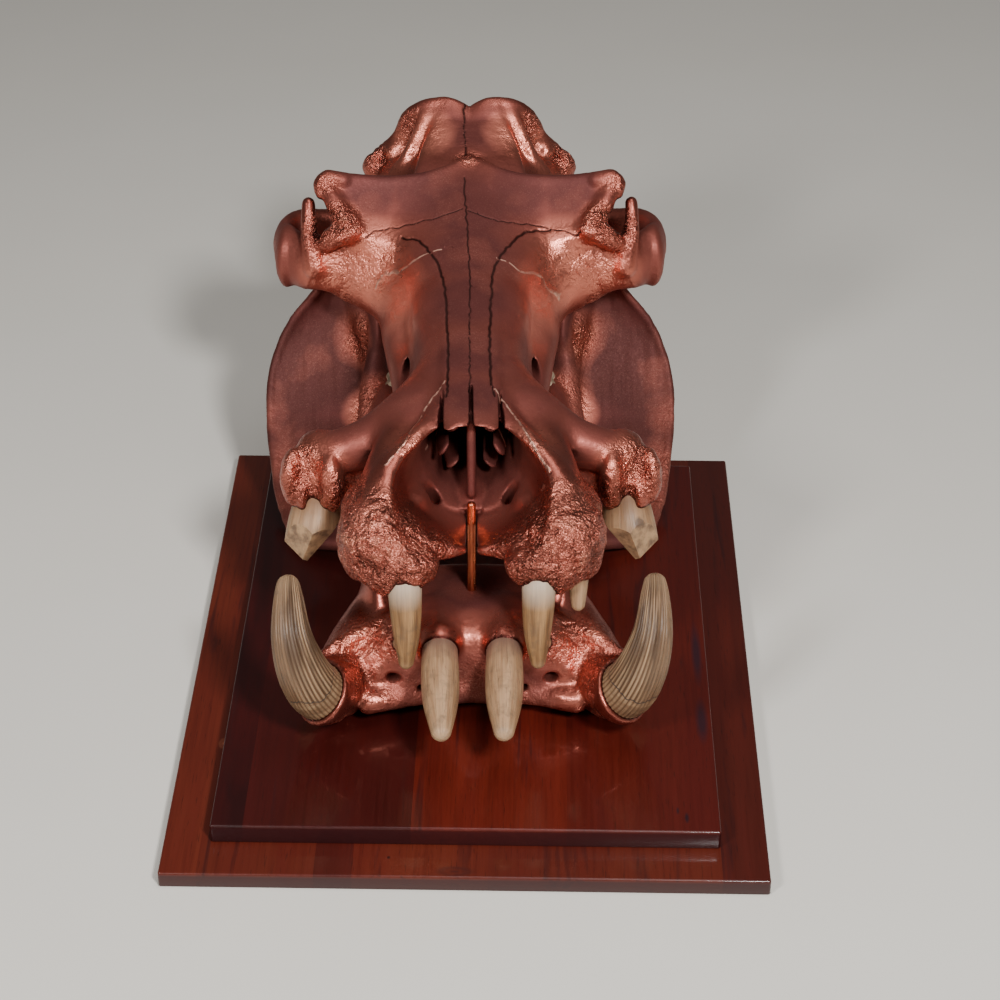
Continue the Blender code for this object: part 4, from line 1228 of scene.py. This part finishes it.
def copper_paint():
    """Copper paint on bone: matte where the bone is smooth, glittering where it is rough, with painted shade
    in hollows, beside the teeth, in dull places and in the pits of the relief, and painted highlights on
    bright places, on the knobs of the relief and in glints.
    """
    f = Finish("copper_paint")
    place = f.place()
    rough = f.stored("rough")
    hollow = f.stored("hollow")
    seam = f.stored("seam")
    cloud = f.noise(place, 16, 4)
    grit = f.noise(place, 380, 3, 0.65)
    painted_glints = f.noise(place, 900, 2, 0.7)
    lumpy = f.number("ADD", rough, f.between(cloud, 0.35, 0.65, -0.15, 0.2))
    lumpy = f.between(lumpy, 0.05, 0.85)
    dull = f.number("MULTIPLY", f.stored("dull"), f.between(lumpy, 0.2, 0.7, 1.0, 0.15))
    dull = f.between(f.number("ADD", dull, f.between(cloud, 0.3, 0.7, -0.12, 0.12)), 0, 1)
    bright = f.number("MULTIPLY", f.stored("bright"), f.between(cloud, 0.25, 0.6, 0.55, 1.0))
    # Painted shade: dull places get a darker colour, and darker still where their value passes 1
    colour = f.blend(dull, (0.46, 0.127, 0.092), (0.128, 0.035, 0.032))
    colour = f.blend(f.between(f.stored("dull"), 1.0, 1.4, 0, 0.55), colour, (0.034, 0.009, 0.007))
    colour = f.blend(lumpy, colour, (0.54, 0.145, 0.100))
    colour = f.blend(f.between(cloud, 0.3, 0.7, 0, 0.3), colour, (0.15, 0.043, 0.032))
    # Painted highlight on the cheeks and other places that face the lamps
    colour = f.blend(bright, colour, (0.95, 0.30, 0.205))
    crest = f.stored("crest")
    # Painted shade in the pits of the relief and painted highlight on its knobs
    painted_pit_shade = f.number("MULTIPLY", f.between(crest, 0.52, 0.22), lumpy)
    painted_knob_highlight = f.number("MULTIPLY", f.between(crest, 0.58, 0.85), lumpy)
    colour = f.blend(f.number("MULTIPLY", painted_pit_shade, 0.75), colour, (0.16, 0.036, 0.024))
    colour = f.blend(f.number("MULTIPLY", painted_knob_highlight, 0.45), colour, (0.95, 0.38, 0.25))
    # Painted glints: pale specks in the colour of rough paint
    colour = f.blend(f.number("MULTIPLY", f.between(painted_glints, 0.56, 0.68), f.between(lumpy, 0, 1, 0.06, 0.4)),
                     colour, (0.98, 0.50, 0.36))
    # Painted shade: darker in hollows and beside the front teeth
    colour = f.blend(f.between(hollow, 0.25, 0.9, 0, 0.94), colour, (0.045, 0.009, 0.008))
    broken = f.between(f.noise(place, 130, 2), 0.36, 0.46)
    colour = f.blend(f.between(seam, 0.62, 0.86, 0, 0.92), colour, (0.035, 0.012, 0.010))
    pale = f.number("MULTIPLY", f.between(seam, -0.62, -0.82, 0, 0.8), broken)
    colour = f.blend(pale, colour, (0.80, 0.44, 0.33))
    shine = f.blend(dull, (0.29, 0.29, 0.29), (0.56, 0.56, 0.56))
    shine = f.number("MULTIPLY", shine, f.between(lumpy, 0, 1, 1.0, 0.8))
    shine = f.number("ADD", shine, f.between(grit, 0.3, 0.7, -0.04, 0.10))
    brushed = f.noise(place, 70, 4, 0.65, 0.6)
    shine = f.number("ADD", shine, f.number("MULTIPLY", bright, f.between(brushed, 0.3, 0.7, -0.08, 0.12)))
    normal = f.bump(brushed, 0.006, f.number("MULTIPLY", bright, 0.6))
    normal = f.bump(grit, 0.0020, f.between(lumpy, 0, 1, 0.06, 1.0), normal)
    normal = f.bump(f.noise(place, 210, 2, 0.6), 0.006, f.between(lumpy, 0.1, 1, 0.02, 0.9), normal)
    return f.done(
        Base_Color=colour, Roughness=shine, Normal=normal, Metallic=f.between(dull, 0, 1, 0.95, 0.45),
        Specular_IOR_Level=0.2)


def ivory(name, tones, root, streaks, ring_end=None, patch=None):
    """Tooth with lengthwise streaks and cracks, darker or whiter beside the bone, and grey-brown worn facets.
    A ringed tooth is also ribbed, with a painted highlight along its ribs, and weathered brown on its inner
    side. A patch is a worn oval: its place, its reach and its colour.
    its reach and its colour."""
    f = Finish(name)
    grain = f.stored("grain", "Vector")
    bare = f.stored("bare")
    worn = f.stored("worn")
    place = f.place()
    fine = f.noise(f.scaled(grain, (9, 9, 20)), 1.0, 4, 0.65)
    broad = f.noise(f.scaled(grain, (2.2, 2.2, 16)), 1.0, 3)
    lines = f.noise(f.scaled(grain, (5.5, 5.5, 9)), 1.0, 2, 0.6, 0.4)
    mottle = f.noise(place, 90, 3, 0.6)
    pale, deep = tones
    colour = f.blend(f.between(broad, 0.36, 0.66), pale, deep)
    colour = f.blend(f.between(fine, 0.48, 0.62, 0, 0.6), colour, pale)
    stripe = f.between(f.number("ABSOLUTE", f.number("SUBTRACT", lines, 0.5)), 0.0, 0.018, streaks, 0.0)
    colour = f.blend(stripe, colour, (0.075, 0.050, 0.036))
    stain = f.number("MULTIPLY", f.between(mottle, 0.50, 0.68), f.between(bare, 0.1, 0.8, 0.45, 0.9))
    colour = f.blend(f.number("MULTIPLY", stain, streaks), colour, (0.13, 0.085, 0.055))
    if ring_end is not None:
        inner = f.stored("inner")
        across, upright, _ = f.parts(grain)
        turn = f.number("MULTIPLY", f.number("ARCTAN2", upright, across), CANINE_FLUTES / 2)
        ribs = f.noise(f.scaled(grain, (6, 6, 14)), 1.0, 2)
        turn = f.number("ADD", turn, f.number("MULTIPLY", ribs, FLUTE_WANDER))
        groove = f.number("ABSOLUTE", f.number("SINE", turn))
        ribbed = f.between(inner, 0.30, 0.55)
        dark_groove = f.number("MULTIPLY", f.between(groove, 0.80, 0.30), ribbed)
        painted_rib_highlight = f.number("MULTIPLY", f.between(groove, 0.7, 0.95), ribbed)
        # Painted highlight along the tops of the ribs
        colour = f.blend(f.number("MULTIPLY", painted_rib_highlight, 0.5), colour, (0.46, 0.30, 0.170))
        weathered = f.number("MULTIPLY", f.between(inner, 0.22, 0.42), f.between(bare, 0.25, 0.50))
        weathered = f.number("MULTIPLY", weathered, f.between(broad, 0.42, 0.54))
        colour = f.blend(f.number("MULTIPLY", weathered, 0.8), colour, (0.070, 0.040, 0.024))
        colour = f.blend(f.number("MULTIPLY", dark_groove, 0.8), colour, (0.080, 0.038, 0.017))
    colour = f.blend(f.between(bare, 0.22, 0.0, 0, 0.8), colour, root)
    colour = f.blend(f.between(bare, 0.86, 1.0, 0, 0.45), colour, (0.52, 0.34, 0.200))
    facet = f.blend(f.between(mottle, 0.38, 0.66), (0.48, 0.292, 0.155), (0.17, 0.100, 0.060))
    colour = f.blend(f.between(worn, 0.5, 1.0), colour, facet)
    if ring_end is not None:
        along = f.parts(grain)[2]
        wander = f.between(f.noise(f.scaled(grain, (1.1, 1.1, 0)), 1.0), 0, 1, -0.012, 0.012)
        gap = f.number("ABSOLUTE", f.number("SUBTRACT", f.number("ADD", along, wander), ring_end))
        rings = f.noise(f.scaled(grain, (0.8, 0.8, 230)), 1.0, 2)
        ringed = f.between(along, ring_end, ring_end - 0.003)
        pale = f.blend(f.between(rings, 0.38, 0.62), (0.16, 0.088, 0.046), (0.42, 0.270, 0.150))
        colour = f.blend(f.number("MULTIPLY", ringed, f.between(groove, 0.15, 0.6, 0.10, 0.55)), colour, pale)
        colour = f.blend(f.between(gap, 0.0008, 0.0003), colour, (0.05, 0.036, 0.03))
    if patch is not None:
        spot, reach, tint = patch
        far = put_node(f.tree, "ShaderNodeVectorMath", {0: place, 1: spot}, operation="DISTANCE")
        edge = f.number("ADD", far.outputs["Value"], f.between(mottle, 0.3, 0.7, -0.002, 0.002))
        colour = f.blend(f.between(edge, reach, reach * 0.7, 0, 0.85), colour, tint)
    normal = f.bump(fine, 0.0009, 0.5)
    normal = f.bump(f.number("SUBTRACT", 1.0, stripe), 0.0006, 0.5, normal)
    return f.done(
        Base_Color=colour, Roughness=f.between(fine, 0.3, 0.7, 0.34, 0.52), Normal=normal,
        Subsurface_Weight=0.06, Subsurface_Scale=0.004, Specular_IOR_Level=0.35)


def cheek_ivory():
    """Crowns with brown valleys between pale cusps."""
    f = Finish("cheek_tooth")
    place = f.place()
    mottle = f.noise(place, 120, 4, 0.6)
    colour = f.blend(f.between(mottle, 0.35, 0.65), (0.62, 0.50, 0.36), (0.40, 0.29, 0.19))
    colour = f.blend(f.between(f.stored("valley"), 0.35, 0.95, 0, 0.9), colour, (0.12, 0.07, 0.04))
    normal = f.bump(f.noise(place, 420, 3), 0.0008, 0.6)
    return f.done(Base_Color=colour, Roughness=f.between(mottle, 0.3, 0.7, 0.28, 0.5), Normal=normal)


def varnished_wood(node, planks, tones, marks):
    """Glossy red-brown boards: glued planks, grain from front to back, dark streaks, knots and flecks."""
    f = Finish(node.replace("plinth_", "") + "_wood")
    place = f.place()
    x, _, z = f.parts(place)
    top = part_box(node)[1].z
    steps = put_node(f.tree, "ShaderNodeValToRGB", {0: f.between(x, -HALF_WIDTH * MM, HALF_WIDTH * MM)})
    steps.color_ramp.interpolation = "CONSTANT"
    while len(steps.color_ramp.elements) > 1:
        steps.color_ramp.elements.remove(steps.color_ramp.elements[-1])
    for k, (start, tone) in enumerate(planks):
        spot = (start + HALF_WIDTH) / (2 * HALF_WIDTH)
        step = steps.color_ramp.elements[0] if k == 0 else steps.color_ramp.elements.new(spot)
        step.position = spot
        step.color = (tone, tone, tone, 1)
    tone = steps.outputs["Color"]
    shift = put_node(f.tree, "ShaderNodeCombineXYZ", {1: f.number("MULTIPLY", tone, 9.0)}).outputs[0]
    along = put_node(f.tree, "ShaderNodeVectorMath", {0: place, 1: shift}, operation="ADD").outputs[0]
    fine = f.noise(f.scaled(along, (1, 0.03, 1)), 240, 5, 0.65, 0.3)
    broad = f.noise(f.scaled(along, (1, 0.10, 1)), 26, 4, 0.55, 0.9)
    streak = f.noise(f.scaled(along, (1, 0.07, 1)), 60, 3, 0.6, 0.5)
    pores = f.noise(f.scaled(along, (1, 0.05, 1)), 900, 1)
    light, middle, dark = tones
    colour = f.blend(tone, dark, light)
    colour = f.blend(f.between(broad, 0.35, 0.65, 0, 0.55), colour, middle)
    colour = f.blend(f.between(fine, 0.45, 0.72, 0, 0.35), colour, dark)
    colour = f.blend(f.between(streak, 0.60, 0.72, 0, 0.75), colour, (0.030, 0.006, 0.006))
    colour = f.blend(f.between(pores, 0.66, 0.74, 0, 0.5), colour, (0.02, 0.004, 0.003))
    for (mx, my), (rx, ry), tint, rings in marks:
        centred = put_node(
            f.tree, "ShaderNodeVectorMath", {0: place, 1: (mx / 1000, my / 1000, 0)}, operation="SUBTRACT")
        away = f.scaled(centred.outputs[0], (1000 / rx, 1000 / ry, 0))
        far = put_node(f.tree, "ShaderNodeVectorMath", {0: away}, operation="LENGTH").outputs["Value"]
        amount = f.between(far, 1.0, 0.35)
        if rings:
            wave = f.number("ADD", f.number("MULTIPLY", far, rings), f.number("MULTIPLY", broad, 5.0))
            wave = f.number("SINE", wave)
            amount = f.number("MULTIPLY", amount, f.between(wave, -1, 1, 0.35, 1.0))
        colour = f.blend(amount, colour, tint)
    sides = f.between(z, top - 4 * MM, top - 1 * MM, 0.8, 0.0)
    colour = f.blend(sides, colour, (0.028, 0.006, 0.007))
    normal = f.bump(fine, 0.0004, 0.25)
    return f.done(
        Base_Color=colour, Roughness=f.between(fine, 0.3, 0.7, 0.42, 0.30), Normal=normal, Coat_Weight=0.45,
        Coat_Roughness=0.09, Specular_IOR_Level=0.25)


def bright_copper():
    """Polished copper of the rod, with fine rings from its sawn and filed length."""
    f = Finish("bright_copper")
    place = f.place()
    cloud = f.noise(f.scaled(place, (1, 1, 0.3)), 120, 3)
    colour = f.blend(f.between(cloud, 0.35, 0.65), (0.62, 0.18, 0.08), (0.32, 0.07, 0.04))
    normal = f.bump(f.noise(f.scaled(place, (1, 1, 6)), 260, 2), 0.0006, 0.4)
    return f.done(
        Base_Color=colour, Roughness=f.between(cloud, 0.3, 0.7, 0.22, 0.36), Normal=normal, Metallic=0.95)


def pale_floor():
    """Plain pale floor with the faintest mottle."""
    f = Finish("pale_floor")
    cloud = f.noise(f.place(), 3, 3)
    return f.done(Base_Color=f.blend(cloud, (0.76, 0.72, 0.65), (0.82, 0.78, 0.71)), Roughness=0.85)


def studio():
    """Pale floor, soft light and the camera at the photograph's angle."""
    scene = bpy.context.scene
    world = bpy.data.worlds.new("studio")
    world.use_nodes = True
    world.node_tree.nodes["Background"].inputs["Color"].default_value = (1, 0.98, 0.96, 1)
    world.node_tree.nodes["Background"].inputs["Strength"].default_value = 0.10
    scene.world = world
    bpy.ops.mesh.primitive_plane_add(size=12, location=(0, 0, -0.0005))
    floor = bpy.context.object
    floor.name = "floor"
    floor.data.materials.append(pale_floor())
    for name, place, size, power in LIGHTS:
        light = bpy.data.lights.new(name, "AREA")
        light.size = size
        light.energy = power
        lamp = bpy.data.objects.new(name, light)
        lamp.location = place
        lamp.rotation_euler = (Vector((0, 0, 0.2)) - Vector(place)).to_track_quat("-Z", "Y").to_euler()
        scene.collection.objects.link(lamp)
    camera = bpy.data.objects.new("camera", bpy.data.cameras.new("camera"))
    scene.collection.objects.link(camera)
    camera.data.lens = CAMERA_LENS
    camera.data.sensor_width = CAMERA_SENSOR
    pitch, yaw, roll = math.radians(CAMERA_PITCH), math.radians(CAMERA_YAW), math.radians(CAMERA_ROLL)
    ahead = Vector((math.sin(yaw) * math.cos(pitch), math.cos(yaw) * math.cos(pitch), -math.sin(pitch)))
    right = Vector((math.cos(yaw), -math.sin(yaw), 0))
    up = right.cross(ahead)
    right, up = math.cos(roll) * right + math.sin(roll) * up, math.cos(roll) * up - math.sin(roll) * right
    view = Matrix((right, up, -ahead)).transposed().to_4x4()
    view.translation = CAMERA_PLACE
    camera.matrix_world = view
    scene.camera = camera


# Soft lamps: name, place, size and power
LIGHTS = [
    ("key", (0.95, -2.2, 2.3), 0.4, 95),
    ("fill", (-1.4, -2.1, 1.9), 0.5, 45),
    ("top", (0.3, -0.1, 2.8), 1.2, 14)]
# The photograph's camera, in degrees and metres
CAMERA_LENS, CAMERA_SENSOR = 90.87, 36
CAMERA_PITCH, CAMERA_YAW, CAMERA_ROLL = 33.075, -0.841, 0.225
CAMERA_PLACE = (0.0571, -2.0978, 1.5586)

# Half of the plinth's width
HALF_WIDTH = 280
# Planks of the boards: where each starts across the plinth, and its tone from dark to light
LOWER_PLANKS = [(-280, 0.75), (-246, 0.55), (-139, 0.15), (-104, 0.65), (20, 0.45), (130, 0.55), (236, 0.2)]
UPPER_PLANKS = [(-280, 0.0), (-206, 0.18), (-52, 0.95), (92, 0.62)]
# Colours of the boards: light, middle and dark
LOWER_TONES = ((0.150, 0.024, 0.010), (0.090, 0.010, 0.006), (0.040, 0.005, 0.004))
UPPER_TONES = ((0.125, 0.013, 0.006), (0.062, 0.005, 0.004), (0.022, 0.003, 0.003))
# Marks in the wood: place, reach, colour and rings
LOWER_MARKS = [
    ((-8, -352), (22, 9), (0.05, 0.010, 0.008), 9.0),
    ((-240, -170), (5, 9), (0.30, 0.09, 0.045), 6.0),
    ((-70, -334), (2, 2.5), (0.02, 0.005, 0.004), 0)]
UPPER_MARKS = [
    ((205, -296), (2.5, 9), (0.022, 0.007, 0.010), 0),
    ((197, -286), (1.6, 6), (0.03, 0.008, 0.010), 0),
    ((226, -150), (7, 40), (0.030, 0.008, 0.012), 0),
    ((226, -40), (6, 60), (0.030, 0.008, 0.012), 0)]


def main():
    """Every piece in its finish, the floor, the lights and the camera."""
    copper = copper_paint()
    purple_root, white_root, brown_root = (0.165, 0.088, 0.068), (0.56, 0.43, 0.32), (0.17, 0.088, 0.046)
    cream = ((0.50, 0.300, 0.165), (0.29, 0.160, 0.082))
    yellow = ((0.42, 0.232, 0.100), (0.17, 0.083, 0.035))
    grey = ((0.27, 0.160, 0.088), (0.11, 0.057, 0.029))
    worn_oval = (tuple(on_plinth((167, 320, 191))), 0.009, (0.13, 0.08, 0.055))
    finishes = {
        "upper_canine": ivory("upper_canine_ivory", cream, brown_root, 0.35, patch=worn_oval),
        "upper_incisor_1": ivory("upper_incisor_ivory", yellow, white_root, 0.6),
        "upper_incisor_2": ivory("small_incisor_ivory", cream, brown_root, 0.4),
        "lower_canine": ivory("lower_canine_ivory", grey, brown_root, 0.6, RINGS_END),
        "lower_incisor_1": ivory("lower_incisor_ivory", cream, purple_root, 0.6),
        "lower_incisor_2": ivory("peg_ivory", cream, brown_root, 0.4)}
    bones = {"cranium": cranium_bone(), "mandible": mandible_bone()}
    rest_flat(bones["mandible"])
    finish_bone("cranium", bones["cranium"], CRANIUM_ROUGH, CRANIUM_DULL_AND_SHADE, CRANIUM_PAINTED_HIGHLIGHT, 3, copper)
    finish_bone("mandible", bones["mandible"], MANDIBLE_ROUGH, MANDIBLE_DULL_AND_SHADE, MANDIBLE_PAINTED_HIGHLIGHT, 31, copper)
    long_teeth(bones, finishes)
    crown = cheek_ivory()
    for node in sorted(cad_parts):
        if "molar" in node:
            cheek_tooth(node, crown)
    prop_rod(bright_copper())
    for node, planks, tones, marks in (
            ("plinth_lower_board", LOWER_PLANKS, LOWER_TONES, LOWER_MARKS),
            ("plinth_upper_board", UPPER_PLANKS, UPPER_TONES, UPPER_MARKS)):
        board(node, varnished_wood(node, planks, tones, marks))
    studio()


main()
